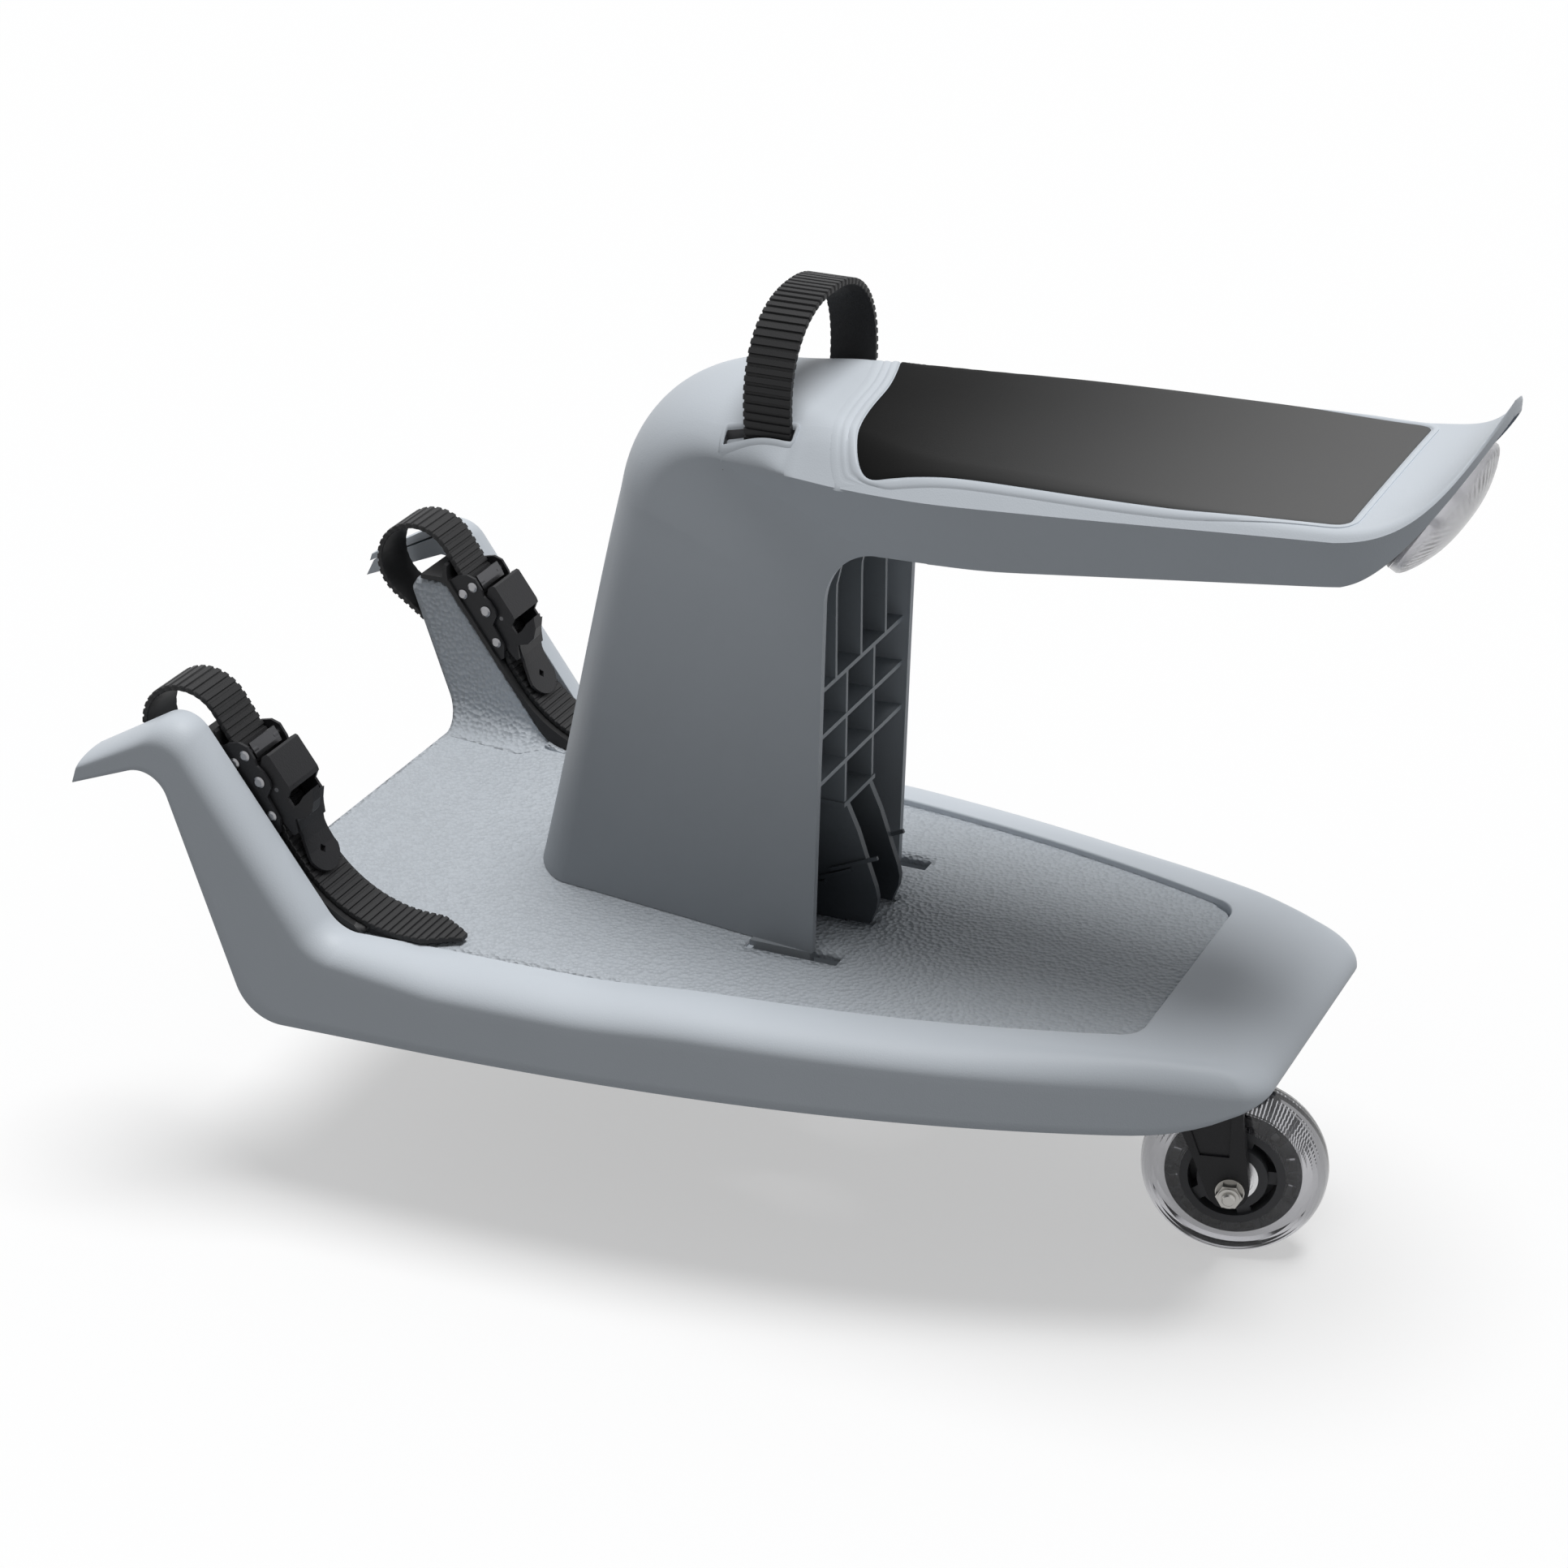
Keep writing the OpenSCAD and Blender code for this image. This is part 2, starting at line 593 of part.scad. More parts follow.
module bearing_inner_rings() {
  color(steel) bearing_pair(bearing_in_r, 6);
}
// The outer rings carry the shields that close the bearings
module bearing_outer_rings() {
  color(steel)
  axle_frame()
    for (z = [-tyre_w / 2, tyre_w / 2 - bearing_w])
      translate([0, 0, z])
        rotate_extrude($fn = 64) polygon([[6.4, 0.4], [9.2, 0.4], [9.2, 0], [bearing_out_r, 0],
          [bearing_out_r, bearing_w], [9.2, bearing_w], [9.2, bearing_w - 0.4], [6.4, bearing_w - 0.4],
          [6.4, bearing_w - 1], [9, bearing_w - 1], [9, 1], [6.4, 1]]);
}
hub_r = 22.5;
rim_r = 29.5;
spokes = 5;
module wheel_hub() {
  color(black)
  axle_frame()
    difference() {
      union() {
        translate([0, 0, -tyre_w / 2]) cylinder(r = 15, h = tyre_w, $fn = 64);
        rotate_extrude($fn = 96) polygon([[19, -tyre_w / 2 + 1], [hub_r, -tyre_w / 2 + 1],
          [hub_r, -5], [rim_r, -5], [rim_r, 5], [hub_r, 5], [hub_r, tyre_w / 2 - 1], [19, tyre_w / 2 - 1]]);
        for (i = [0:spokes - 1])
          rotate([0, 0, i * 360 / spokes]) translate([13, -3, -tyre_w / 2 + 3]) cube([8, 6, tyre_w - 6]);
        translate([0, 0, -1.5]) cylinder(r = 20, h = 3, $fn = 64);
      }
      translate([0, 0, -tyre_w / 2 - 1]) cylinder(r = bearing_out_r, h = bearing_w + 1, $fn = 64);
      translate([0, 0, tyre_w / 2 - bearing_w]) cylinder(r = bearing_out_r, h = bearing_w + 1, $fn = 64);
      cylinder(r = 9, h = tyre_w, center = true, $fn = 64);
      // Windows in the flange key the tyre to the hub
      for (i = [0:11])
        rotate([0, 0, 30 * i + 15]) translate([hub_r + 1.4, -3.2, -6]) cube([3.6, 6.4, 12]);
    }
}
module wheel_tyre() {
  crown_h = 8;
  half = tyre_w / 2;
  side_r = wheel_d / 2 - crown_h;
  color([0.8, 0.82, 0.82])
  axle_frame()
    difference() {
      rotate_extrude($fn = 96) polygon(concat([[hub_r, half - 1]],
        [for (a = [0:15:180]) [side_r + crown_h * sin(a), half * cos(a)]], [[hub_r, 1 - half]]));
      rotate_extrude($fn = 96) polygon([[hub_r - 1, -5], [rim_r, -5], [rim_r, 5], [hub_r - 1, 5]]);
    }
}

// Straps and buckles
module place_side(side) {
  if (side > 0) children();
  else mirror([0, 1, 0]) children();
}
liner_y = channel_w / 2 - 0.5;
liner_top = liner_t - channel_d;
rest = 0.3;
tail_z = deck_z + 2;
tail_corner = cross_point(at(0, liner_top + rest), -arm_slope, [0, tail_z], 0);
tail_end = [-119, tail_z];
tail_curve = round_corner(at(30, liner_top + rest), tail_corner, tail_end, 60, 10);
// Line of the channel floor raised by the rest gap, out to the thin end of the wedge
liner_end_x = -141;
// The rear end of the liner is cut narrower, clear of the board's rim
trim_x = liner_end_x - 20;
trim_y = 111.4;
floor_r = 26;
floor_arc = round_corner(saddle_rear, floor_foot, [rise_x, deck_z - 3], floor_r, 12);
floor_turn_u = [unit(saddle_rear - floor_foot), unit([rise_x, deck_z - 3] - floor_foot)];
floor_arc_o = floor_foot + unit(floor_turn_u[0] + floor_turn_u[1]) * floor_r
  / sin(acos(floor_turn_u[0] * floor_turn_u[1]) / 2);
liner_base = concat([saddle_front + [2, rest]],
  round_corner(saddle_front + [0, rest], saddle_rear + [0.1, rest + 0.1], at(60, rest - channel_d), 6, 4),
  [for (q = floor_arc) let (p = floor_arc_o + (q - floor_arc_o) * (1 - 1.4 * rest / floor_r))
    if (p.y > plate_z(p.x) + rest + 0.1) p],
  [[liner_end_x - 12, plate_z(liner_end_x - 14) + rest], [liner_end_x, plate_z(liner_end_x - 6) + rest]]);
module arm_liner(side) {
  color(black)
  place_side(side)
    difference() {
      upright(strap_y - liner_y, strap_y + liner_y, concat(liner_base,
        [for (i = [10:-1:0]) if (tail_curve[i].x < liner_end_x - 1) tail_curve[i] - [0.2, rest]],
        [at(-14.4, liner_top), at(-17.4, -1.5), at(-20.5, 1), at(-22, 0.6), at(-19.4, -2.4)],
        [saddle_rear + [-1, liner_t], saddle_front + [2, liner_t]]));
      translate([crown_point.x, strap_y, crown_point.y]) rotate([0, arm_slope, 0])
        translate([bolt_s, 0, -channel_d - 1]) cylinder(r = 6.5, h = 8, $fn = 48);
      translate([trim_x, trim_y, deck_z - 10]) cube([40, 10, 30]);
    }
}

// Way of the strap's inner face: from its bolt, round the loop, through the buckle to its tail
loop_o = [-245.5, 208.5];
loop_end_a = 90 - arm_slope;
loop_start_a = 234.4;
under_t = -channel_d - floor_t - rest;
strap_in = loop_o + loop_r * [cos(loop_start_a), sin(loop_start_a)];
strap_dir = loop_start_a - 270;
run_corner = cross_point(strap_in, strap_dir, at(0, under_t), -arm_slope);
strap_way = concat([at(bolt_s + 7, under_t)],
  round_corner(at(bolt_s + 7, under_t), run_corner, strap_in, 14, 4),
  [for (i = [0:20]) let (a = lerp(loop_start_a, loop_end_a, i / 20))
    loop_o + loop_r * [cos(a), sin(a)]],
  [at(-10, 1.1), at(-2, 0.35), at(8, -1.1), at(29, -1.1), at(34, liner_top + rest)],
  tail_curve, [tail_end]);
way_sum = [for (i = 0, l = 0; i < len(strap_way);
  l = l + (i + 1 < len(strap_way) ? norm(strap_way[i + 1] - strap_way[i]) : 0), i = i + 1) l];
way_len = way_sum[len(way_sum) - 1];
function way_seg(l, i = 0) = i >= len(strap_way) - 2 || way_sum[i + 1] > l ? i : way_seg(l, i + 1);
// A point at length l along the strap, raised h from its inner face
function way_point(l, h) = let (i = way_seg(l), a = strap_way[i], b = strap_way[i + 1])
  let (d = (b - a) / max(norm(b - a), eps))
  a + d * (l - way_sum[i]) + h * [-d.y, d.x] * -1;
module axle_strap(side) {
  ladder = [for (l = [2:strap_pitch:way_len - 3])
    for (q = [[-0.1, 0], [0.35, 1], [1.9, 1], [2.35, 0]])
      way_point(l + q[0], -strap_t - q[1] * strap_rib_h)];
  // The loop is left thick here and bored round below
  inner = [for (i = [len(strap_way) - 1:-1:0]) let (p = way_point(way_sum[i], 0), v = p - loop_o)
    abs(norm(v) - loop_r) < 0.2 && p.y > strap_in.y + 1 ? loop_o + v * 0.96 : p];
  color(black)
  place_side(side)
    difference() {
      upright(strap_y - strap_w / 2, strap_y + strap_w / 2,
        concat([way_point(0, -strap_t)], ladder, [way_point(way_len, -strap_t)], inner));
      translate([crown_point.x, strap_y, crown_point.y]) rotate([0, arm_slope, 0])
        translate([bolt_s, 0, -20]) cylinder(r = bolt_r + 0.2, h = 12, $fn = 32);
      translate([loop_o.x, 0, loop_o.y]) rotate([-90, 0, 0]) cylinder(r = loop_r, h = 2 * strap_y,
        $fn = 96);
      // The tail ends in a blunt point
      for (m = [-1, 1])
        translate([tail_end.x, strap_y, tail_z]) rotate([0, 0, m * 58])
          translate([-3, -20, -5]) translate([5, 0, 0]) cube([20, 40, 12]);
    }
}
// The collar clamps the strap's ladder from below
collar_t = under_t - strap_t - strap_rib_h - rest;
module strap_bolt(side) {
  color(steel)
  arm_frame(side)
    translate([bolt_s, 0, 0])
      rotate_extrude($fn = 48) polygon([[0, -channel_d + 1.4], [4, -channel_d + 1.4],
        [5, -channel_d + 0.8], [5, -channel_d], [bolt_r, -channel_d],
        [bolt_r, collar_t], [5, collar_t], [5, collar_t - 3], [0, collar_t - 3]]);
}

cheek_out = 13.8;
cheek_in = cheek_out - cheek_t;
rivet_s = -5.3;
rivet_h = -0.65;
rivet_r = 1;
pivot_s = 6.9;
pivot_h = 5;
pawl_s = -5.8;
pawl_h = 6.2;
pawl_r = 1.6;
rear_s = 22;
base_floor = 1.3;
module cross_hole(s, t, r) {
  translate([s, 0, t]) rotate([90, 0, 0]) cylinder(r = r, h = 40, center = true, $fn = 32);
}
module buckle_base(side) {
  color(black)
  arm_frame(side)
    difference() {
      union() {
        translate([-14, -cheek_out, liner_top]) cube([44, 2 * cheek_out, base_floor]);
        both_sides()
          upright(cheek_in, cheek_out, [[-14, liner_top], [30, liner_top], [30, -0.5], [25, 3.2],
            [14, 4.2], [11.5, 8.6], [9, 9.6], [4, 9.6], [0.5, 8.4], [-2.5, 9.4], [-8.5, 9.6], [-12,
              7], [-14, 2]]);
      }
      cross_hole(rivet_s, rivet_h, rivet_r);
      cross_hole(pivot_s, pivot_h, pivot_r);
      cross_hole(pawl_s, pawl_h, pawl_r);
      cross_hole(rear_s, 0.6, rivet_r);
    }
}
module pin(s, t, r, head) {
  y = cheek_out;
  translate([s, 0, t]) rotate([90, 0, 0])
    rotate_extrude($fn = 32) polygon([[0, -y - 1], [head - 0.9, -y - 1], [head, -y - 0.4], [head, -y],
      [r, -y], [r, y], [head, y], [head, y + 0.4], [head - 0.9, y + 1], [0, y + 1]]);
}
module buckle_rivets(side) {
  color(steel)
  arm_frame(side) {
    pin(rivet_s, rivet_h, rivet_r, 2.4);
    difference() {
      pin(rear_s, 0.6, rivet_r, 2.4);
      translate([rear_s - 5, -cheek_in, -5]) cube([10, 2 * cheek_in, 10]);
    }
  }
}
module lever_pin(side) {
  color(steel) arm_frame(side) pin(pivot_s, pivot_h, pivot_r, 2.6);
}
module pawl_pin(side) {
  color(steel) arm_frame(side) pin(pawl_s, pawl_h, pawl_r, 2.4);
}
lever_y = cheek_in - 0.5;
lever_t = 1.4;
lever_end = pivot_s + lever_len - 3;
head_h2 = 15.5;
tail_line = [[24, 12.4], [27, 10.2], [30, 8], [34, 5.9], [39, 4.2], [45, 3], [lever_end, 2.4]];
lever_plan = concat([[-3, lever_y], [24, lever_y], [30, 10.4], [36, 8.8], [41, 9.4]],
  [for (a = [75:-15:-75]) [lever_end - 10.5 + 10.5 * cos(a), 11 * sin(a)]],
  [[41, -9.4], [36, -8.8], [30, -10.4], [24, -lever_y], [-3, -lever_y]]);
module ratchet_lever(side) {
  color(black)
  arm_frame(side)
    difference() {
      union() {
        // Head plate, with the side plates that carry it
        upright(-lever_y, lever_y, [[-1.5, head_h2 - 0.8], [-0.5, head_h2], [15, head_h2], [17,
          head_h2 - 0.6],
          [17, head_h2 - 2.2], [14, head_h2 - lever_t], [-1.5, head_h2 - lever_t]]);
        both_sides()
          upright(lever_y - lever_t, lever_y, [[-1.5, head_h2 - 0.8], [-0.5, head_h2], [15, head_h2],
            [17, head_h2 - 1], [19, 11.5], [24, 11.5], [30, 7.4], [34, 5.2], [34, 3.4], [28, 2.5],
            [10, 2.5], [6.9, 2.3], [4, 3.3], [3, 7], [-1.5, 11.8]]);
        // The fang rises from the end of the notch
        upright(-lever_y, 1 - lever_y + 5, [[24, 10.5], [23.2, 15], [21.4, 19.5], [20.5, 25],
          [25.6, 22.4], [29, 18.6], [30, 13.8], [28, 8.4]]);
        intersection() {
          upright(-lever_y, lever_y, concat(tail_line,
            [for (i = [len(tail_line) - 1:-1:0]) tail_line[i] - [0.4, lever_t]]));
          linear_extrude(30) polygon(lever_plan);
        }
      }
      cross_hole(pivot_s, pivot_h, pivot_r + 0.04);
      cross_hole(13.5, 9, 1);
      // Diamond hole near the end
      translate([lever_end - 10, 0, -1]) rotate([0, 0, 45]) cube([3, 3, 12], center = true);
    }
}
module drive_pawl(side) {
  color(steel)
  arm_frame(side) {
    cross = lever_y;
    translate([13.5, 0, 9]) rotate([90, 0, 0]) cylinder(r = 1, h = 2 * cross, center = true, $fn = 32);
    upright(-lever_y + lever_t + 0.4, lever_y - lever_t - 0.4, [[12, 10.4], [15, 10.4], [16.6, 4.4],
      [15.6, 2.6], [14.4, 2.6], [12, 7.6]]);
  }
}
module release_pawl(side) {
  hub = lever_y - lever_t - 0.5;
  color(black)
  arm_frame(side)
    difference() {
      union() {
        both_sides()
          translate([pawl_s, hub, pawl_h]) rotate([90, 0, 0]) cylinder(r = 2.6, h = 3.5, $fn = 32);
        upright(-hub, hub, [[-4.2, 8.6], [-2.2, 8.2], [-0.4, 5], [-0.4, 4.1], [-1.4, 3.9], [-3.4,
          5.4], [-4.4, 6]]);
        upright(-hub, hub, [[-9.2, 8.8], [-4, 8.6], [-4, 7.9], [-9.4, 8]]);
      }
      cross_hole(pawl_s, pawl_h, pawl_r + 0.05);
      translate([pawl_s - 2.2, -hub + 3.6, pawl_h - 2.2]) cube([4.4, 2 * hub - 7.2, 3.9]);
    }
}

// Seat: a moulding open at the rear of its column and along the underside of its beam
base_z = deck_z + rest;
crease_foot = [crease_foot_x, base_z];
top_slope = 1.95;
crease_top = [-22, base_z + seat_h];
crease_peak = cross_point(crease_foot, 90 - front_lean, crease_top, top_slope);
beam_x = 238;
crease_end = crease_top + (beam_x - crease_top.x) * [1, tan(top_slope)];
arch_foot = [column_rear_x, base_z];
arch_knee = [column_rear_x + 5.5, base_z + 184.3];
arch_end = [beam_x + 3, arch_knee.y + 27.5];
crease_path = concat([for (t = [0:0.25:1]) lerp(crease_foot, crease_peak, t * 0.86)],
  round_corner(crease_foot, crease_peak, crease_end, 36, 8),
  [for (t = [1:7]) lerp([-24.3, 343.42], crease_end, t / 7)]);
arch_path = concat([for (t = [0:0.25:1]) lerp(arch_foot, arch_knee, t * 0.84)],
  round_corner(arch_foot, arch_knee, arch_end, 28, 8),
  [for (t = [1:7]) lerp([50, 314.2], arch_end, t / 7)]);
function crease_w(p) = p.x < -45 && p.y < 305
  ? nose_half_w + 9 * pow(max(p.y - base_z, 0) / 174, 1.2)
  : 42.5 + 26 * smooth((p.x + 62) / 150) + (beam_half_w - 69) * smooth((p.x + 62) / 150)
    - 1.8 * smooth((p.x - 120) / 118);
function arch_w_at(p) = p.y < 250 ? column_half_w
  : column_half_w + (beam_half_w - 5 - column_half_w) * smooth((p.x - 15) / 95);
function nose_depth(p) = nose_d
  + (p.y > 300 ? 2 - 11.5 * smooth((p.x + 40) / 120) - 4 * smooth((p.x - 80) / 158)
    : 2 * smooth((p.y - 128) / 170));
function roundness(p) = p.y < 300 ? 1.6 + 0.25 * smooth((p.y - 128) / 170)
  : 1.85 + 2.9 * smooth((p.x + 25) / 85);
// Direction in which the crown stands out from the crease
function crown_dir(i) = let (k = len(crease_path))
  let (a = i < 5 ? 180 - i : 176 - 86 * smooth((i - 4) / 9)) [cos(a), sin(a)];
tail_xs = [250, 260, 269, 276.5, 282.5, 286.8, tail_tip_x];
// One section of the seat: [crease, arch, half widths, depth, roundness, direction]
seat_stations = concat(
  [for (i = [0:len(crease_path) - 1]) let (c = crease_path[i], a = arch_path[i])
    [c, a, crease_w(c), arch_w_at(a), nose_depth(c), roundness(c), crown_dir(i)]],
  [for (x = tail_xs) let (t = (x - beam_x) / (tail_tip_x - beam_x))
    let (w = 67 * sqrt(max(1 - pow((x - beam_x) / (tail_tip_x - beam_x + 0.8), 2), 0)) + 1)
    let (low = arch_end.y + 0.127 * (x - beam_x) + 54 * pow(t, 1.4))
    [[x, low + lerp(11.5, 1.5, t)], [x, low], w, w - 3 * (1 - t) - 0.4, lerp(10.5, 1.2, t), 4.75, [0, 1]]]);
crown_vs = [1, 0.985, 0.94, 0.85, 0.7, 0.5, 0.25, 0, -0.25, -0.5, -0.7, -0.85, -0.94, -0.985, -1];
function crown_at(v, st, inner) = let (h = (st[4] - inner) * pow(max(1 - pow(abs(v), st[5]), 0), 1 / st[5]))
  [st[0].x + st[6].x * h, (st[2] - inner) * v, st[0].y + st[6].y * h];
side_ts = [0, 0.25, 0.5, 0.75];
// Points up one side panel, from the arch edge towards the crease
function side_at(t, st, side, inner) = let (low = [st[1].x, side * (st[3] - inner), st[1].y])
  lerp(low, crown_at(side, st, inner), t);
function seat_section(st) = let (w = min(seat_wall, st[4] + (st[0].y - st[1].y) / 2), n = len(side_ts) - 1)
  concat([for (t = side_ts) side_at(t, st, 1, 0)], [for (v = crown_vs) crown_at(v, st, 0)],
    [for (i = [n:-1:0]) side_at(side_ts[i], st, -1, 0)], [for (t = side_ts) side_at(t, st, -1, w)],
    [for (i = [len(crown_vs) - 1:-1:0]) crown_at(crown_vs[i], st, w)],
    [for (i = [n:-1:0]) side_at(side_ts[i], st, 1, w)]);

// Recess for the pad: outline by half width along the seat, following its crown
pad_front = 24;
pad_rear = 241;
function seat_at(x) = let (z = crease_top.y + (x - crease_top.x) * tan(top_slope))
  [[x, z], 0, crease_w([x, z]), 0, nose_depth([x, z]), roundness([x, z]), [0, 1]];
function pad_half(x, gap) = let (f = min(1, (x - pad_front + gap) / 42))
  let (g = min(1, (pad_rear + gap - x) / 6))
  (65 - 7.5 * smooth((x - 100) / 140)) * pow(max(1 - pow(1 - f, 2.2), 0),
    1 / 2.2) * (0.92 + 0.08 * g) + gap;
pad_stations = [0.02, 0.12, 0.3, 0.55, 0.8, 1.2, 1.7, 2.4, 3.4, 4.4, 5.1, 5.22, 5.238];
module pad_solid(gap, low, high) {
  skin([for (u = pad_stations) let (x = pad_front - gap + (u / 5.238) * (pad_rear - pad_front + 2 * gap))
    let (st = seat_at(x), w = pad_half(x, gap))
    concat([for (j = [6:-1:-6]) let (y = w * j / 6, q = crown_at(y / st[2], st, 0)) [x, y, q.z + high]],
      [for (j = [-6:6]) let (y = w * j / 6, q = crown_at(y / st[2], st, 0)) [x, y, q.z + low]])],
    paired = true);
}
pad_recess = 1.5;
strap_x = -6;
hole_w = 27;
module strap_slots() {
  both_sides()
    translate([strap_x - hole_w / 2, arch_w / 2 - 1.6, crease_top.y + 2.5]) cube([hole_w, 5.4, 40]);
}
tab_y0 = slot_y0 + 0.8;
tab_y1 = column_half_w - 0.3;
tab_x0 = -10.5;
foot_top = deck_z - deck_t - 0.5;
foot_h = 4;
module seat_tabs() {
  both_sides() {
    translate([tab_x0, tab_y0, foot_top - foot_h])
      cube([tab_x1 - tab_x0, tab_y1 - tab_y0, base_z + 6 - foot_top + foot_h]);
    translate([-22, tab_y0, foot_top - foot_h]) cube([tab_x1 + 22, slot_y1 - tab_y0 - 0.8, foot_h]);
  }
}
module screw_bosses() {
  both_sides()
    translate([strap_x, leg_y(screw_z) + band_t + 0.7, screw_z]) rotate([-90, 0, 0]) cylinder(r = 5,
      h = 2.9, $fn = 48);
}
// Bosses under the tail that the reflector is screwed to
lens_boss_r = 4.5;
lens_boss_top = -19.8;
lens_boss_end = -1.9;
lens_screw_y = 16;
module lens_bosses() {
  lens_frame()
    for (m = [-1, 1])
      translate([0, lens_screw_y * m, lens_boss_top])
        cylinder(r = lens_boss_r, h = lens_boss_end - lens_boss_top, $fn = 48);
}
module seat_shell() {
  color(shell_colour)
  difference() {
    union() {
      skin([for (st = seat_stations) seat_section(st)], paired = true);
      seat_tabs();
      screw_bosses();
      lens_bosses();
    }
    pad_solid(0.35, -pad_recess, 6);
    strap_slots();
    both_sides()
      translate([strap_x, leg_y(screw_z), screw_z]) rotate([-90, 0, 0]) cylinder(r = 2, h = 5.3, $fn = 32);
    lens_frame()
      for (m = [-1, 1]) translate([0, lens_screw_y * m, -10.5]) cylinder(r = 2, h = 10, $fn = 32);
  }
}
rib_ys = [-26, 0, 26];
arch_set = 4;
shelf_z = [for (k = [0:3]) 183.5 + shelf_pitch * k];
// A line inside the crown along the seat at y, for the top of a rib
function under_crown(y) = [for (i = [4:len(crease_path) - 1]) let (st = seat_stations[i])
  let (q = crown_at(y / (st[2] - 0.8 * seat_wall), st, 0.8 * seat_wall)) [q.x, q.z]];
arch_inset = [for (i = [4:len(arch_path) - 1])
  arch_path[i] + arch_set * (i < 6 ? [-1, 0] : i < 12 ? [-0.7, 0.7] : [-0.1, 1])];
module long_rib(y) {
  line = under_crown(y);
  upright(y - lattice_t / 2, y + lattice_t / 2,
    concat([[arch_inset[0].x, shelf_z[3]]], arch_inset, [for (i = [len(line) - 1:-1:0]) line[i]],
      [[line[0].x - 2, shelf_z[3]]]));
}
module shelf(z, half, nose) {
  cx = crease_foot_x + (z - base_z) * tan(front_lean);
  translate([0, 0, z - lattice_t / 2])
    linear_extrude(lattice_t) polygon([[column_rear_x + 0.5, half], [cx + 6, nose], [cx - 8, nose * 0.6],
      [cx - 8, -nose * 0.6], [cx + 6, -nose], [column_rear_x + 0.5, -half]]);
}
fin_outline = [[-30, base_z], [-30, 186], [18, 184.5], [24, 171], [29, 156], [32.5, 146], [33.5, 141],
  [33, 136], [31, 131], [30, base_z]];
cell_y = 14.3;
module seat_lattice() {
  color(shell_colour) {
    for (z = [shelf_z[1], shelf_z[2], shelf_z[3]]) shelf(z, column_half_w - seat_wall / 2, nose_half_w + 4);
    shelf(shelf_z[0], cell_y + lattice_t, cell_y);
    both_sides() {
      // Upright ribs between the shelves
      upright(cell_y - lattice_t / 2, cell_y + lattice_t / 2, [[column_rear_x, shelf_z[0]],
        [column_rear_x + 0.5, shelf_z[3]], [-78, shelf_z[3]], [-90, shelf_z[0]]]);
      // Fins that stand on the deck
      upright(fin_y - 1.7, fin_y + 1.7, fin_outline);
      upright(fin_y - 1.7, fin_y + 1.7, [[tab_x0, base_z + 1], [tab_x0, foot_top - foot_h],
        [tab_x1, foot_top - foot_h], [tab_x1, base_z + 1]]);
      for (k = [0:2])
        translate([-12 + 12 * k, fin_y + 1.6, base_z + 6 + 8 * k]) rotate([0, -24, 0]) cube([24, 1.4, 1.6]);
    }
    for (y = rib_ys) long_rib(y);
    for (x = [70, 110, 150, 190])
      translate([x, -40, crease_top.y + (x - crease_top.x) * tan(top_slope) - 6]) cube([lattice_t, 80, 14]);
  }
}
module seat_pad() {
  color([0.13, 0.13, 0.14]) pad_solid(0, rest - pad_recess, pad_t - pad_recess - 1.2);
}
strap_foot_z = 322;
arch_foot_z = 366;
arch_z = 350 + arch_h;
arch_run = concat([for (a = [180:-10:0]) [arch_w / 2 * cos(a),
  arch_foot_z + (arch_z - arch_foot_z) * sin(a)]]);
// Inside the seat the legs lean in, clear of the side walls
leg_lean = 3;
arch_way = concat([[leg_lean - arch_w / 2, strap_foot_z]], arch_run, [[arch_w / 2 - leg_lean,
  strap_foot_z]]);
function leg_y(z) = arch_w / 2 - leg_lean * (arch_foot_z - z) / (arch_foot_z - strap_foot_z);
screw_z = strap_foot_z + 8;
band_t = 1.8;
// Offset of the arch's way to its outer side
function arch_side(i, h) = let (k = len(arch_way))
  let (a = arch_way[max(i - 1, 0)], b = arch_way[min(i + 1, k - 1)], d = unit(b - a))
  arch_way[i] + h * [-d.y, d.x];
ladder_h = 1;
// One ladder rib of the outer face, as four points of the band's outline
function ladder_rib(i) = let (p = arch_side(i, band_t), n = unit(p - arch_way[i]), d = [n.y, -n.x])
  [p - 1.1 * d, p - 0.8 * d + ladder_h * n, p + 0.8 * d + ladder_h * n, p + 1.1 * d];
module grab_strap() {
  k = len(arch_way);
  color(black)
  translate([strap_x - strap_w / 2, 0, 0])
    difference() {
      rotate([90, 0, 90]) linear_extrude(strap_w)
        polygon(concat([arch_side(0, band_t)], [for (i = [1:k - 2]) each ladder_rib(i)],
          [arch_side(k - 1, band_t)], [for (i = [k - 1:-1:0]) arch_way[i]]));
      translate([strap_w / 2, 0, screw_z]) rotate([90, 0, 0])
        cylinder(r = 2.2, h = 200, center = true, $fn = 32);
    }
}
module grab_strap_screws() {
  color(steel)
  both_sides()
    translate([strap_x, leg_y(screw_z) - 2.5, screw_z]) rotate([-90, 0, 0])
      rotate_extrude($fn = 32) polygon([[0, 0], [3.2, 0], [4.2, 1], [4.2, 2.2], [2, 2.2], [2, 7.6],
        [0, 7.6]]);
}

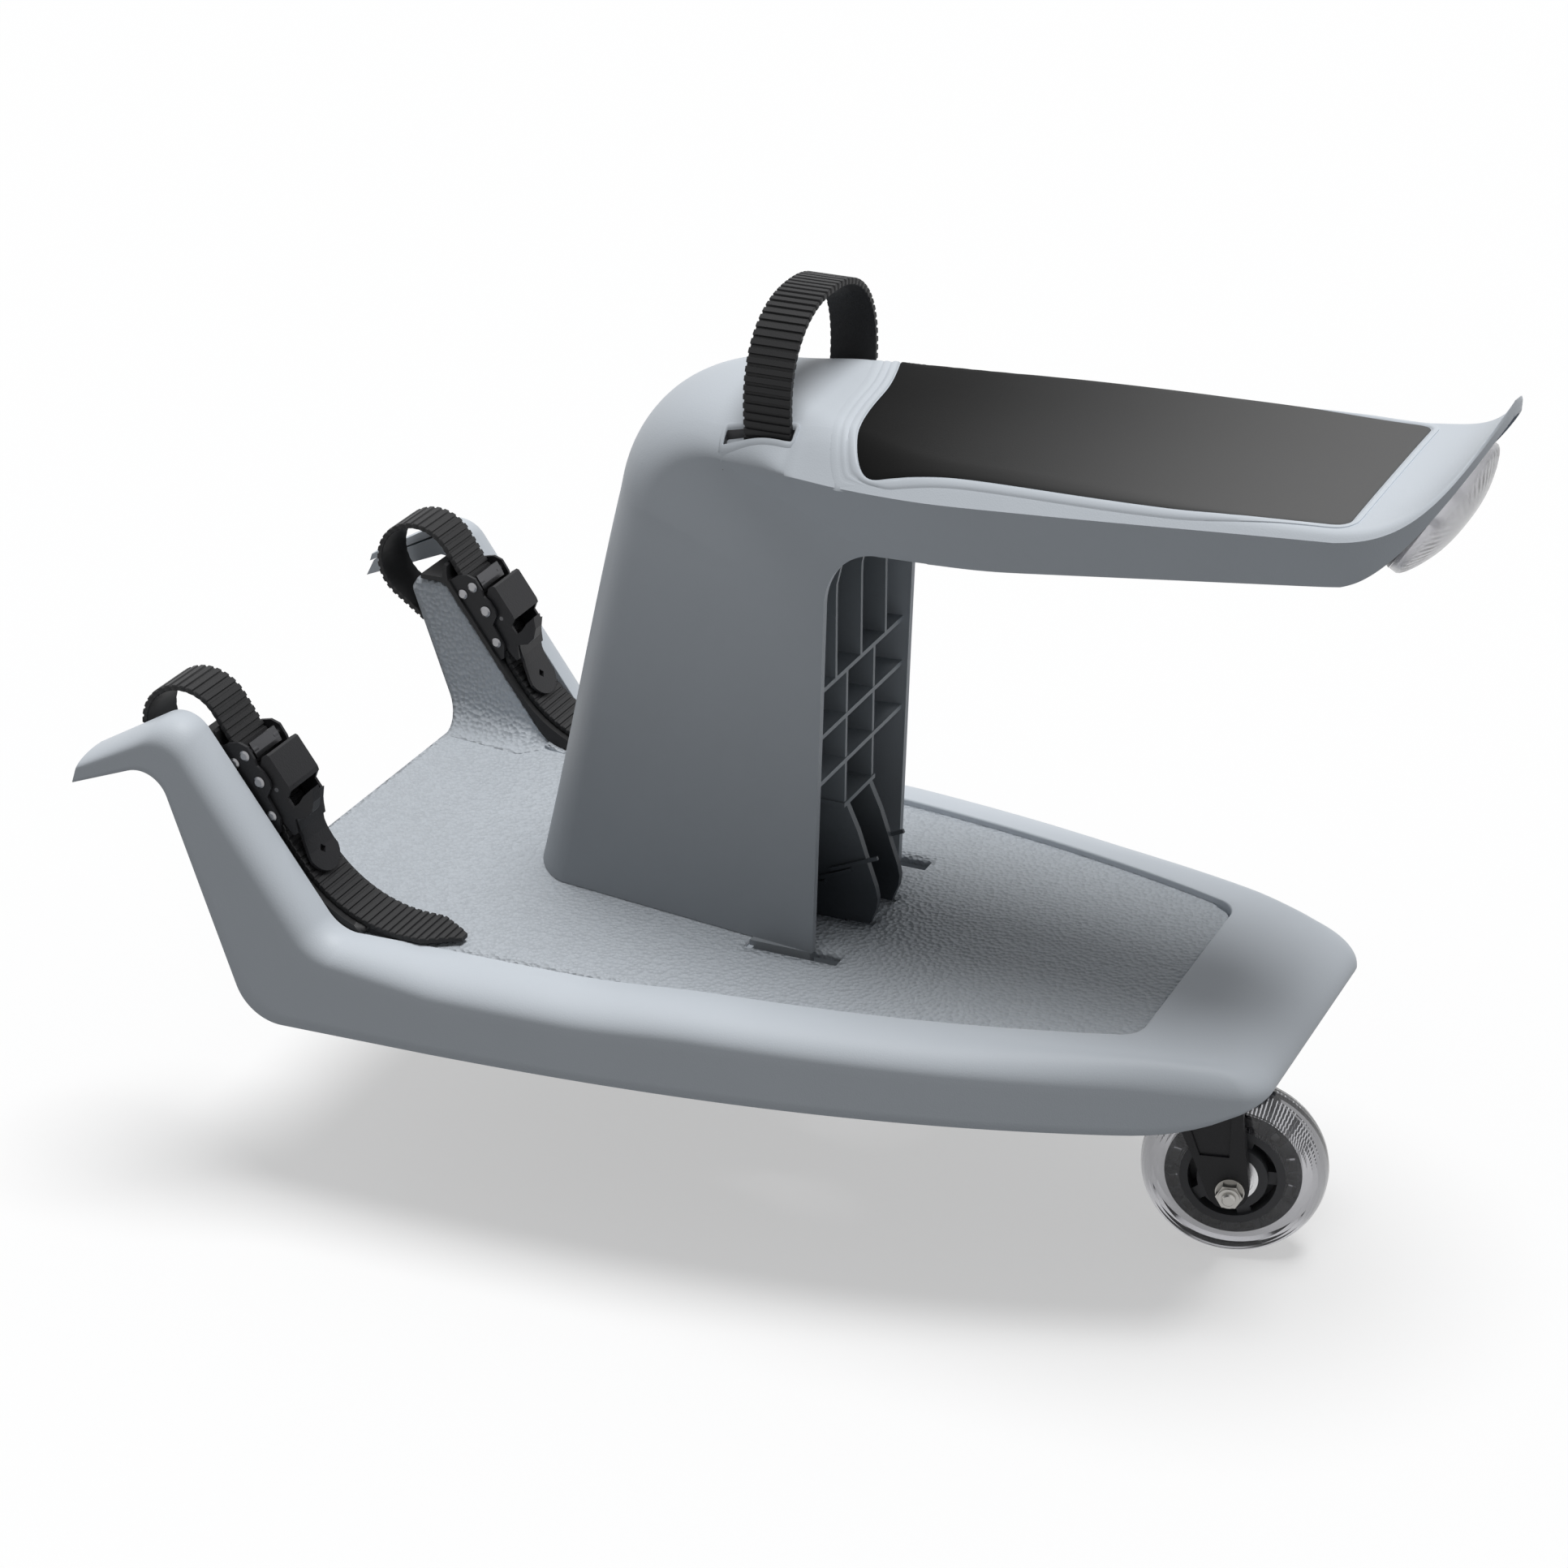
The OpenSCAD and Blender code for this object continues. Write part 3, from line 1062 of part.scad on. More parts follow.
// Reflector under the tail: a round cup and a domed lens, set square to its own slanting axis
lens_r = 32;
lens_tilt = 121.5;
lens_o = [262, 353];
lens_rim = 4.5;
lens_dome = 7;
lens_wall = 1.6;
dome_r = (lens_r * lens_r + lens_dome * lens_dome) / (2 * lens_dome);
module lens_frame() {
  translate([lens_o.x, 0, lens_o.y]) rotate([0, lens_tilt, 0]) children();
}
function dome(r, top) = [for (i = [0:8]) let (x = r * (1 - i / 8)) [x,
  top - dome_r + sqrt(dome_r * dome_r - x * x)]];
module reflector_lens() {
  color([0.85, 0.87, 0.88])
  lens_frame()
    rotate_extrude($fn = 96) polygon(concat([[lens_r, 0]], dome(lens_r, lens_rim + lens_dome),
      [for (i = [8:-1:0]) dome(lens_r - lens_wall, lens_rim + lens_dome - lens_wall)[i]],
      [[lens_r - lens_wall, 0]]));
}
module reflector_base() {
  color(black)
  lens_frame()
    difference() {
      union() {
        translate([0, 0, -1.6]) cylinder(r = lens_r, h = 1.6, $fn = 96);
        translate([0, 0, -0.1]) cylinder(r = lens_r - lens_wall - 0.2, h = 2.6, $fn = 96);
        translate([0, 0, -5]) cylinder(r = 8, h = 4, $fn = 48);
      }
      for (m = [-1, 1]) translate([0, lens_screw_y * m, -6]) cylinder(r = 1.8, h = 12, $fn = 32);
    }
}
module reflector_screws() {
  color(steel)
  lens_frame()
    for (m = [-1, 1])
      translate([0, lens_screw_y * m, 0])
        rotate_extrude($fn = 32) polygon([[0, 4.2], [2.6, 4.2], [3.2, 3.4], [3.2, 2.5], [1.7, 2.5],
          [1.7, -9], [0, -9]]);
}

board_shell();
castor_socket();
grip_ring();
thrust_washer();
castor_fork();
castor_stem();
wheel_axle();
axle_nut();
axle_washers();
axle_spacer();
bearing_inner_rings();
bearing_outer_rings();
wheel_hub();
wheel_tyre();
arm_liner(1);  // arm_liner_left
arm_liner(-1);  // arm_liner_right
axle_strap(1);  // axle_strap_left
axle_strap(-1);  // axle_strap_right
strap_bolt(1);  // strap_bolt_left
strap_bolt(-1);  // strap_bolt_right
buckle_base(1);  // buckle_base_left
buckle_base(-1);  // buckle_base_right
buckle_rivets(1);  // buckle_rivets_left
buckle_rivets(-1);  // buckle_rivets_right
lever_pin(1);  // lever_pin_left
lever_pin(-1);  // lever_pin_right
ratchet_lever(1);  // ratchet_lever_left
ratchet_lever(-1);  // ratchet_lever_right
drive_pawl(1);  // drive_pawl_left
drive_pawl(-1);  // drive_pawl_right
release_pawl(1);  // release_pawl_left
release_pawl(-1);  // release_pawl_right
pawl_pin(1);  // pawl_pin_left
pawl_pin(-1);  // pawl_pin_right
seat_shell();
seat_lattice();
seat_pad();
grab_strap();
grab_strap_screws();
reflector_base();
reflector_lens();
reflector_screws();
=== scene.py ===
import math

import bmesh
import bpy
import numpy as np
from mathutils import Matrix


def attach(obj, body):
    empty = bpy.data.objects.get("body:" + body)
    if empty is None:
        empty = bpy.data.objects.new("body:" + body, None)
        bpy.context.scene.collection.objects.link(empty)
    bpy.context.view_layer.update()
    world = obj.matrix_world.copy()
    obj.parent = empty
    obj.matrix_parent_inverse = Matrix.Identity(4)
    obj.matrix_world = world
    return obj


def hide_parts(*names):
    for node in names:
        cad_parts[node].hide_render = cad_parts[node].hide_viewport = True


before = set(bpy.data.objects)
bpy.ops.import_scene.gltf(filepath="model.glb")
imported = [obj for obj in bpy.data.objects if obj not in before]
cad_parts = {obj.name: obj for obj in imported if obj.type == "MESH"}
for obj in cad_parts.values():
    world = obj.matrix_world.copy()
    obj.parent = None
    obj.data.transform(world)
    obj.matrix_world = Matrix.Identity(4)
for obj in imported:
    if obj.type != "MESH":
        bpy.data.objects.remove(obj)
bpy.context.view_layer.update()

# Floor, backdrop and lamp
# A wide pale floor takes the soft shadow. One broad lamp hangs overhead and the pale backdrop
# fills in from all sides, so the tops are bright and the sides fall to mid grey.

floor_half = 6.0
floor_seen = (0.52, 0.52, 0.52, 1)
floor_lit = (0.20, 0.205, 0.21, 1)
floor_glow = 0.475
sky_colour = (0.985, 0.99, 1.0, 1)
sky_lit = 0.23


def feed(tree, node, values):
    """Gives each named input of a node its value, or joins it to the output given for it."""
    for name, value in values.items():
        if isinstance(value, bpy.types.NodeSocket):
            tree.links.new(value, node.inputs[name])
        else:
            node.inputs[name].default_value = value


def add_node(tree, kind, values=None, **options):
    """A new shader node of a kind, with its options set and its inputs fed."""
    node = tree.nodes.new(f"ShaderNode{kind}")
    for option, value in options.items():
        setattr(node, option, value)
    feed(tree, node, values or {})
    return node


def node_material(name, colour, roughness):
    """A material with a Principled shader, and its node tree and shader."""
    material = bpy.data.materials.new(name)
    material.use_nodes = True
    material.diffuse_color = (*colour, 1)
    tree = material.node_tree
    shader = tree.nodes["Principled BSDF"]
    feed(tree, shader, {"Base Color": (*colour, 1), "Roughness": roughness})
    return material, tree, shader


def seen_directly(tree):
    """One where a ray comes from the camera, a mirror-like surface or through clear plastic."""
    path = add_node(tree, "LightPath")
    rays = [path.outputs[f"Is {kind} Ray"] for kind in ("Camera", "Glossy", "Transmission")]
    first = add_node(tree, "Math", {0: rays[0], 1: rays[1]}, operation="ADD")
    both = add_node(tree, "Math", {0: first.outputs[0], 1: rays[2]}, operation="ADD", use_clamp=True)
    return both.outputs[0]


def make_floor():
    """A flat square of floor under the wheel."""
    mesh = bpy.data.meshes.new("floor")
    signs = ((-1, -1), (1, -1), (1, 1), (-1, 1))
    mesh.from_pydata([(x * floor_half, y * floor_half, 0) for x, y in signs], [], [(0, 1, 2, 3)])
    floor = bpy.data.objects.new("floor", mesh)
    bpy.context.collection.objects.link(floor)
    material, tree, shader = node_material("pale_floor", (0.93, 0.93, 0.93), 0.9)
    # Seen directly the floor is white with a grey shadow; to the light it sends back it is darker
    seen = seen_directly(tree)
    tint = add_node(tree, "Mix", {"Factor": seen, "A": floor_lit, "B": floor_seen}, data_type="RGBA")
    glow = add_node(tree, "Math", {0: seen, 1: floor_glow}, operation="MULTIPLY")
    feed(tree, shader, {"Base Color": tint.outputs["Result"], "Specular IOR Level": 0.0})
    feed(tree, shader, {"Emission Strength": glow.outputs[0], "Emission Color": (1, 1, 1, 1)})
    mesh.materials.append(material)


make_floor()

world = bpy.data.worlds.new("studio")
bpy.context.scene.world = world
world.use_nodes = True
world_tree = world.node_tree
backdrop = world_tree.nodes["Background"]
sky = add_node(world_tree, "Mix", {"Factor": seen_directly(world_tree), "A": sky_lit, "B": 1.0})
feed(world_tree, backdrop, {"Strength": sky.outputs["Result"], "Color": sky_colour})

# The lamp hangs overhead, a little to the rear, and looks 30 degrees wide
key = bpy.data.lights.new("key", "SUN")
key.energy = 2.45
key.angle = math.radians(30)
key_holder = bpy.data.objects.new("key", key)
key_holder.rotation_euler = (math.radians(-2), math.radians(7), 0.0)
bpy.context.collection.objects.link(key_holder)

# Camera, at the photograph's place and angle
sensor_width = 36
photo_width = 1932
focal_length = 4856.3
camera_data = bpy.data.cameras.new("camera")
camera_data.lens = sensor_width * focal_length / photo_width
camera_data.sensor_width = sensor_width
camera = bpy.data.objects.new("camera", camera_data)
bpy.context.collection.objects.link(camera)
camera.location = (0.61417, -1.38894, 0.91296)
camera.rotation_euler = (math.radians(90 - 25.68), 0.0, math.radians(24.42))
bpy.context.scene.camera = camera
bpy.context.scene.view_settings.view_transform = "Standard"

# Board shell
# One large moulding in blue-grey polypropylene: two hook arms, a rim that runs round the
# deck, a sunk panel with a pebbled top, and a hollow ribbed underside.

board_half_w = 134.0
side_taper = 54.5
taper_length = 420.0
taper_x = -226.0
deck_front_x = -223.0
deck_rear_x = 225.0
deck_z = 128.0
deck_t = 4.0
front_rise = 5.0
rise_x = -130.0
rim_rise = 3.0
rim_w = 25.0
panel_rear_x = 169.0
shoulder_w = 20.0
shoulder_d = 12.0
skirt_z = 88.0
skirt_rise = 10.0
board_wall = 3.6
hook_w = 18.0
channel_w = 31.0
channel_d = 5.5
corner_r = 16.0
arm_angle = 54.5
arm_slope = math.radians(arm_angle)
stem_lean = 18.7


def smooth(t):
    """Zero below 0, one above 1, and t*t*(3 - 2t) between."""
    t = np.clip(t, 0, 1)
    return t * t * (3 - 2 * t)


def half_w(x):
    """Half width of the board: it draws in with the cube of the way from taper_x."""
    return board_half_w - side_taper * (np.maximum(x - taper_x, 0) / taper_length) ** 3


def side_normal(x):
    """Outward normal of the board's side in plan, as arrays of x and y parts."""
    lean = 3 * side_taper / taper_length * (np.maximum(x - taper_x, 0) / taper_length) ** 2
    length = np.sqrt(lean**2 + 1)
    return np.stack([lean / length, 1 / length], -1)


def plate_z(x):
    """Top of the deck: flat, and rising with the power 1.5 towards the front edge."""
    return deck_z + front_rise * (np.maximum(rise_x - x, 0) / (rise_x - deck_front_x)) ** 1.5


def crown(x):
    """Top of the rim: level with the deck in front, 3 mm over it behind, and falling to the bow."""
    rise = 0.03 + (rim_rise - 0.03) * smooth((x + 60) / 60)
    return plate_z(x) + rise - 4.0 * smooth((x - 168) / (deck_rear_x - 168))


def skirt_line(x):
    """Lower edge of the skirt, rising evenly to the rear."""
    return skirt_z + skirt_rise * (x + 199) / 374


bow_rise = crown(deck_rear_x) - shoulder_d - 1 - skirt_line(deck_rear_x)


def skirt_bottom(x):
    """Lower edge of the skirt, sweeping up under the bow with the power 2.2."""
    return skirt_line(x) + bow_rise * (np.maximum(x - 174, 0) / (deck_rear_x - 174)) ** 2.2


def unit(v):
    """v with length one."""
    v = np.asarray(v, float)
    return v / np.linalg.norm(v)


def units(rows):
    """Each row of an array with length one."""
    return rows / np.linalg.norm(rows, axis=1)[:, None]


def arc(centre, radius, angles):
    """Points at a radius and angles round a centre, in one plane."""
    return centre + radius * np.stack([np.cos(angles), np.sin(angles)], -1)


def within(values, low, high):
    """Which values lie between low and high."""
    return (values > low) & (values < high)


def cross_point(p, a, q, b):
    """Where the line through p at angle a meets the line through q at angle b, in degrees."""
    u = np.array([math.cos(math.radians(a)), math.sin(math.radians(a))])
    v = np.array([math.cos(math.radians(b)), math.sin(math.radians(b))])
    w = np.asarray(q, float) - p
    return p + u * (w[0] * v[1] - w[1] * v[0]) / (u[0] * v[1] - u[1] * v[0])


def corner_centre(a, p, c, r):
    """Centre of the arc of radius r that touches both sides of the corner a-p-c."""
    u, v = unit(a - p), unit(c - p)
    return p + unit(u + v) * r / math.sin(math.acos(float(u @ v)) / 2)


def round_corner(a, p, c, r, n):
    """n + 1 points of the corner a-p-c, rounded to radius r."""
    a, p, c = (np.asarray(q, float) for q in (a, p, c))
    u, v = unit(a - p), unit(c - p)
    half = math.acos(float(u @ v)) / 2
    o = corner_centre(a, p, c, r)
    s, e = p + u * r / math.tan(half) - o, p + v * r / math.tan(half) - o
    turn = math.atan2(s[0] * e[1] - s[1] * e[0], float(s @ e))
    start = math.atan2(s[1], s[0])
    t = start + turn * np.linspace(0, 1, n + 1)
    return arc(o, r, t)


def between(a, b, n, ends=True):
    """n points from a to b in even steps."""
    t = np.linspace(0, 1, n, endpoint=ends)[:, None]
    return np.asarray(a, float) * (1 - t) + np.asarray(b, float) * t


def grid_mesh(name, grid, around=False, along=False, caps=False, angle=35):
    """A skin over a grid of points in mm, shape (rows, columns, 3): quads between neighbours.
    around closes the columns, along closes the rows, and caps closes the two end rows."""
    rows, cols = grid.shape[:2]
    i = np.arange(rows if along else rows - 1)[:, None]
    j = np.arange(cols if around else cols - 1)[None, :]
    i2, j2 = (i + 1) % rows, (j + 1) % cols
    quads = np.stack([i * cols + j, i * cols + j2, i2 * cols + j2, i2 * cols + j], -1)
    faces = [tuple(q) for q in quads.reshape(-1, 4).tolist()]
    if caps:
        faces.append(tuple(range(cols - 1, -1, -1)))
        faces.append(tuple((rows - 1) * cols + k for k in range(cols)))
    return skin(name, grid, faces, angle)


def skin(name, grid, faces, angle):
    """An object out of points in mm and the faces between them."""
    mesh = bpy.data.meshes.new(name)
    mesh.from_pydata((grid.reshape(-1, 3) / 1000).tolist(), [], faces)
    return finish_mesh(name, mesh, angle)


def placed(name, mesh, angle):
    """Makes mesh an object at the origin, smooth wherever it turns by less than angle."""
    mesh.polygons.foreach_set("use_smooth", np.ones(len(mesh.polygons), bool))
    mesh.set_sharp_from_angle(angle=math.radians(angle))
    mesh.update()
    piece = bpy.data.objects.new(name, mesh)
    bpy.context.collection.objects.link(piece)
    return piece


def finish_mesh(name, mesh, angle):
    """Places mesh with its points welded and its normals outward."""
    work = bmesh.new()
    work.from_mesh(mesh)
    bmesh.ops.remove_doubles(work, verts=work.verts, dist=1e-6)
    bmesh.ops.dissolve_degenerate(work, edges=work.edges, dist=1e-7)
    bmesh.ops.recalc_face_normals(work, faces=work.faces)
    work.to_mesh(mesh)
    work.free()
    return placed(name, mesh, angle)


def plate_mesh(name, outline, low, high, axis=1, angle=35):
    """A flat plate: its outline in mm, carried from low to high along one axis."""
    outline = np.asarray(outline, float)
    count = len(outline)
    other = [k for k in range(3) if k != axis]
    points = np.zeros((2, count, 3))
    points[:, :, other] = outline
    points[0, :, axis] = low
    points[1, :, axis] = high
    return grid_mesh(name, points, around=True, caps=True, angle=angle)


def merged(name, meshes):
    """One mesh out of several."""
    work = bmesh.new()
    for mesh in meshes:
        work.from_mesh(mesh)
    whole = bpy.data.meshes.new(name)
    work.to_mesh(whole)
    work.free()
    return whole


def joined(name, parts):
    """One object out of several."""
    mesh = merged(name, [part.data for part in parts])
    for part in parts:
        bpy.data.objects.remove(part)
    return placed(name, mesh, 35)


crown_point = np.array([-216.0, 195.0])
hook_bottom = np.array([-289.5, 184.3])
hook_top = hook_bottom + [4.5, 13.0]
stem_foot = np.array([-208.6, skirt_line(-208.6)])
peak = cross_point(hook_top, 30, crown_point, -arm_angle)
armpit = cross_point(hook_bottom, 21.3, stem_foot, 90 + stem_lean)
foot = cross_point(crown_point, -arm_angle, np.array([0, 132.0]), 0)
arm_end_x = -125.0
rail_start = np.array([arm_end_x, crown(arm_end_x)])
rail_under = np.array([arm_end_x, skirt_line(arm_end_x)])


def twice_bent(start, first, second, end, first_r, second_r):
    """The path start-first-second, rounded at first, and at second where it turns towards end."""
    near = round_corner(start, first, second, first_r, 16)
    far = round_corner(first, second, end, second_r, 16)
    straight = between(start, near[0], 9, ends=False)
    return np.concatenate([straight, near, between(near[-1], far[0], 22)[1:-1], far])


hook_bend_r = 14
foot_bend_r = 18
stem_bend_r = 22
crown_path = twice_bent(hook_top, peak, foot, rail_start, hook_bend_r, foot_bend_r)
under_path = twice_bent(hook_bottom, armpit, stem_foot, rail_under, hook_bend_r, stem_bend_r)


def rim_rows(wide, deep, depth, width, lip):
    """The rim's section as (inset, drop): the outer face, a quarter ellipse, the top and the
    hollow inner side."""
    q = min(1.0, depth / 26.0)
    r = width / rim_w
    turn = np.radians(np.linspace(0, 90, 19))
    shoulder = np.stack([wide * (1 - np.cos(turn)), deep * (1 - np.sin(turn))], -1)
    skirt = between([0, depth - 1.0], shoulder[0], 6, ends=False)
    edge = min(1.0, lip)
    top = between(shoulder[-1], [width - edge, 0], 8, ends=False)[1:]
    bend = np.radians(np.linspace(0, 90, 5))
    lip_edge = np.stack([width - edge + edge * np.sin(bend), edge * (1 - np.cos(bend))], -1)
    inside = [[width, 7.6 * q], [width - 2.5, 7.6 * q], [width - 2.5, deck_t * q]]
    inside += [[16 * r, deck_t * q], [9 * r, 5.8 * q], [5, 8.5 * q]]
    inside += [[board_wall, min(14, depth - 0.8) * q], [board_wall, depth]]
    foot_edge = [[1.0, depth], [0.3, depth - 0.3]]
    return np.concatenate([foot_edge, skirt, shoulder, top, lip_edge, inside])


def hung(top, low, y, drop):
    """Points across the board at y, each by its drop below top on the way to low."""
    down = (low - top) / max(float(np.linalg.norm(top - low)), 1e-6)
    return np.stack([top[0] + down[0] * drop, y, top[1] + down[1] * drop], -1)


def arm_stations():
    """Closed sections of one arm: the rim's section between the crown line and the lower line."""
    made = []
    for top, low in zip(crown_path, under_path):
        depth = float(np.linalg.norm(top - low))
        rows = rim_rows(14, shoulder_d * min(1.0, depth / 26.0), depth, hook_w, 0.4)
        made.append(hung(top, low, half_w(top[0]) - rows[:, 0], rows[:, 1]))
    return made


corner_x = deck_rear_x - corner_r
corner_start_x = corner_x + corner_r * side_normal(np.array(corner_x + 6.0))[0]
corner_n = side_normal(np.array(corner_start_x))
corner_a = math.atan2(corner_n[1], corner_n[0])
corner_o = np.array([corner_x, half_w(corner_start_x) - corner_r * corner_n[1]])
panel_half = float(half_w(panel_rear_x)) - rim_w * 1.06
panel_r = 12.0


def deck_outline():
    """Pairs of points in plan, outer edge and inner edge, from the arm round to the middle of
    the bow. The outer edge follows the sides and one corner arc, the inner edge the sunk panel."""
    xs = np.linspace(-121, 206, 56)
    outer_side = np.stack([xs, half_w(xs)], -1)
    inner_xs = np.where(xs < 90, xs, 90 + (xs - 90) * (panel_rear_x - panel_r - 2 - 90) / 116)
    inner_side = np.stack([inner_xs, half_w(inner_xs)], -1) - side_normal(inner_xs) * rim_w
    turn = corner_a * (1 - np.linspace(0, 1, 25)[1:])
    outer_turn = arc(corner_o, corner_r, turn)
    inner_corner = round_corner(
        inner_side[-1], [panel_rear_x, panel_half], [panel_rear_x, 0], panel_r, 24
    )
    outer_rear = between(outer_turn[-1], [deck_rear_x, 0], 14)[1:]
    inner_rear = between(inner_corner[-1], [panel_rear_x, 0], 14)[1:]
    outer = np.concatenate([outer_side, outer_turn, outer_rear])
    inner = np.concatenate([inner_side, inner_corner[1:], inner_rear])
    return outer, inner


def deck_stations():
    """Closed sections of the rim round the deck, from the arm to the middle of the bow."""
    made = []
    for out, into in zip(*deck_outline()):
        width = float(np.linalg.norm(out - into))
        depth = float(crown(out[0]) - skirt_bottom(out[0]))
        lip = 0.4 + 0.6 * float(smooth((into[0] + 60) / 60))
        rows = rim_rows(shoulder_w, shoulder_d, depth, width, lip)
        share = rows[:, 0:1] / width
        section = np.zeros((len(rows), 3))
        section[:, :2] = out * (1 - share) + into * share
        section[:, 2] = crown(section[:, 0]) - rows[:, 1]
        made.append(section)
    return made


half_rail = arm_stations() + deck_stations()
other_rail = [s * [1, -1, 1] for s in half_rail[-2::-1]]
rail = np.stack(half_rail + other_rail)
board_rim = grid_mesh("board_rim", rail, around=True, caps=True, angle=40)

# Slots in the deck for the seat's four tabs
slot_x = (-11.0, 31.8)
slot_lines = (9.8, 14.2, 43.4, 53.9)


def deck_sheet():
    """The deck's top as a grid over x and y at the height of plate_z, left open at the slots."""
    ends = (deck_front_x - 0.6, arm_end_x, *slot_x, panel_rear_x + 1.5)
    runs = [np.linspace(a, b, n) for a, b, n in zip(ends, ends[1:], (40, 24, 8, 30))]
    xs = np.unique(np.concatenate(runs).round(4))
    inner_n = side_normal(xs)
    edge = half_w(xs) - rim_w / inner_n[:, 1] + 1.2
    edge = np.where(xs < arm_end_x, 117 - 29 * smooth((-165 - xs) / 6), edge)
    past = np.clip(xs - (panel_rear_x - panel_r), 0, panel_r)
    turned = panel_half + 1.2 - panel_r + np.sqrt(panel_r**2 - past**2)
    edge = np.where(past > 0, np.minimum(edge, turned), edge)
    fixed = np.array([0, 5, *slot_lines[:2], 22, 32, *slot_lines[2:]])
    outer = np.linspace(0, 1, 9)[1:]
    squeeze = np.minimum(1, (edge - 1) / 55)[:, None]
    y_in = fixed[None, :] * squeeze
    y_out = y_in[:, -1:] + (edge[:, None] - y_in[:, -1:]) * outer[None, :]
    ys = np.concatenate([y_in, y_out], 1)
    ys = np.concatenate([-ys[:, :0:-1], ys], 1)
    grid = np.stack([xs[:, None] + 0 * ys, ys, plate_z(xs)[:, None] + 0 * ys], -1)
    rows, cols = ys.shape
    i, j = np.meshgrid(np.arange(rows - 1), np.arange(cols - 1), indexing="ij")
    mid_x = (xs[i] + xs[i + 1]) / 2
    mid_y = np.abs(ys[i, j] + ys[i, j + 1]) / 2
    in_y = within(mid_y, *slot_lines[:2]) | within(mid_y, *slot_lines[2:])
    keep = ~(within(mid_x, *slot_x) & in_y)
    corner = i * cols + j
    quads = np.stack([corner, corner + cols, corner + cols + 1, corner + 1], -1)[keep]
    return skin("board_deck", grid, quads.tolist(), 35)


def thicken(sheet, thickness, face):
    """Gives a sheet a thickness in mm under its top. face is one that lies level."""
    wall = sheet.modifiers.new("thickness", "SOLIDIFY")
    wall.thickness = thickness / 1000
    wall.offset = -1 if sheet.data.polygons[face].normal.z > 0 else 1


board_deck = deck_sheet()
thicken(board_deck, deck_t, 0)

slope_d = np.array([math.cos(arm_slope), -math.sin(arm_slope)])
slope_n = np.array([math.sin(arm_slope), math.cos(arm_slope)])


def at(s, t):
    """The point s down the arm's slope and t out from its crown line."""
    return crown_point + slope_d * s + slope_n * t


def stem_x(z):
    """X of the arm's straight front edge at height z."""
    return stem_foot[0] - (z - stem_foot[1]) * math.tan(math.radians(stem_lean))


saddle_front = np.array([stem_x(200) + 3.5, 203.5])
saddle_rear = crown_point - slope_n * channel_d - slope_d * 14.5
floor_foot = cross_point(crown_point - slope_n * channel_d, -arm_angle, np.array([0, deck_z + 0.3]), 0)
trough_end = np.array([-140.0, deck_z - 0.1])
saddle_turn = round_corner(saddle_front, saddle_rear, floor_foot, 6, 8)
foot_turn = round_corner(saddle_rear, floor_foot, trough_end, 26, 14)
trough_top = np.concatenate(
    [
        [[stem_x(199.5), 199.5], saddle_front - [1.2, 0.8], saddle_front],
        saddle_turn,
        between(saddle_turn[-1], foot_turn[0], 18)[1:-1],
        foot_turn,
        between(foot_turn[-1], trough_end, 4)[1:],
    ]
)


def arm_trough(side):
    """The floor of an arm's strap channel and its inner wall: a section across the arm, carried
    down the slope. It runs flat from the rim, turns over a rounded edge, goes down the wall and
    out through a fillet on to the deck."""
    arm_in = 86.0
    steps = len(trough_top)
    low_x = np.linspace(stem_x(133.0) + 0.5, -150.0, steps)
    low_x = np.maximum(low_x, -223.5)
    low = np.stack([low_x, plate_z(low_x) + 0.02], -1)
    sections = []
    for top, bottom in zip(trough_top, low):
        height = float(np.linalg.norm(top - bottom))
        reach = max(top[1] - bottom[1], 0.0)
        edge = min(3.0, 0.3 * reach)
        fillet = min(15.0, 0.62 * reach)
        turn = np.radians(np.linspace(0, 90, 9))
        flat = np.stack([np.linspace(117.2, arm_in + edge, 6)[:-1], np.zeros(5)], -1)
        bend = np.stack([arm_in + edge - edge * np.sin(turn), edge * (1 - np.cos(turn))], -1)
        face = np.stack([np.full(6, arm_in), np.linspace(edge, height - fillet, 7)[1:]], -1)
        cove_y = arm_in - fillet * (1 - np.cos(turn))
        cove = np.stack([cove_y, height - fillet * (1 - np.sin(turn))], -1)
        rows = np.concatenate([flat, bend, face, cove[1:]])
        sections.append(hung(top, bottom, rows[:, 0] * side, rows[:, 1]))
    name = "arm_trough_left" if side > 0 else "arm_trough_right"
    trough = grid_mesh(name, np.stack(sections), angle=50)
    thicken(trough, board_wall, len(rows) * 20)
    return trough


troughs = [arm_trough(1), arm_trough(-1)]

# Front wall, solid hooks, ribs and castor boss, all part of the same moulding
front_bend = round_corner(armpit, stem_foot, rail_under, stem_bend_r, 10)
bend_o = corner_centre(armpit, stem_foot, rail_under, stem_bend_r)


def front_line(inset):
    """The front wall's line in side view, inset from the arms' front edge."""
    top = [[stem_x(132.6) + inset, 132.6]]
    return np.concatenate([top, bend_o + (front_bend - bend_o) * (stem_bend_r - inset) / stem_bend_r])


front_wall = plate_mesh(
    "front_wall", np.concatenate([front_line(0.3), front_line(3.9)[::-1]]), -131.5, 131.5
)
heart = [
    hook_top + [1, -3],
    hook_top * 0.25 + peak * 0.75 - [0, 6],
    peak + [2, -9],
    armpit + [9, 0],
    armpit + [1, 3],
    hook_bottom + [1.2, 1.6],
]
heart_y = (115.8, 129)
hearts = [plate_mesh("heart", heart, *heart_y), plate_mesh("heart", heart, -heart_y[1], -heart_y[0])]


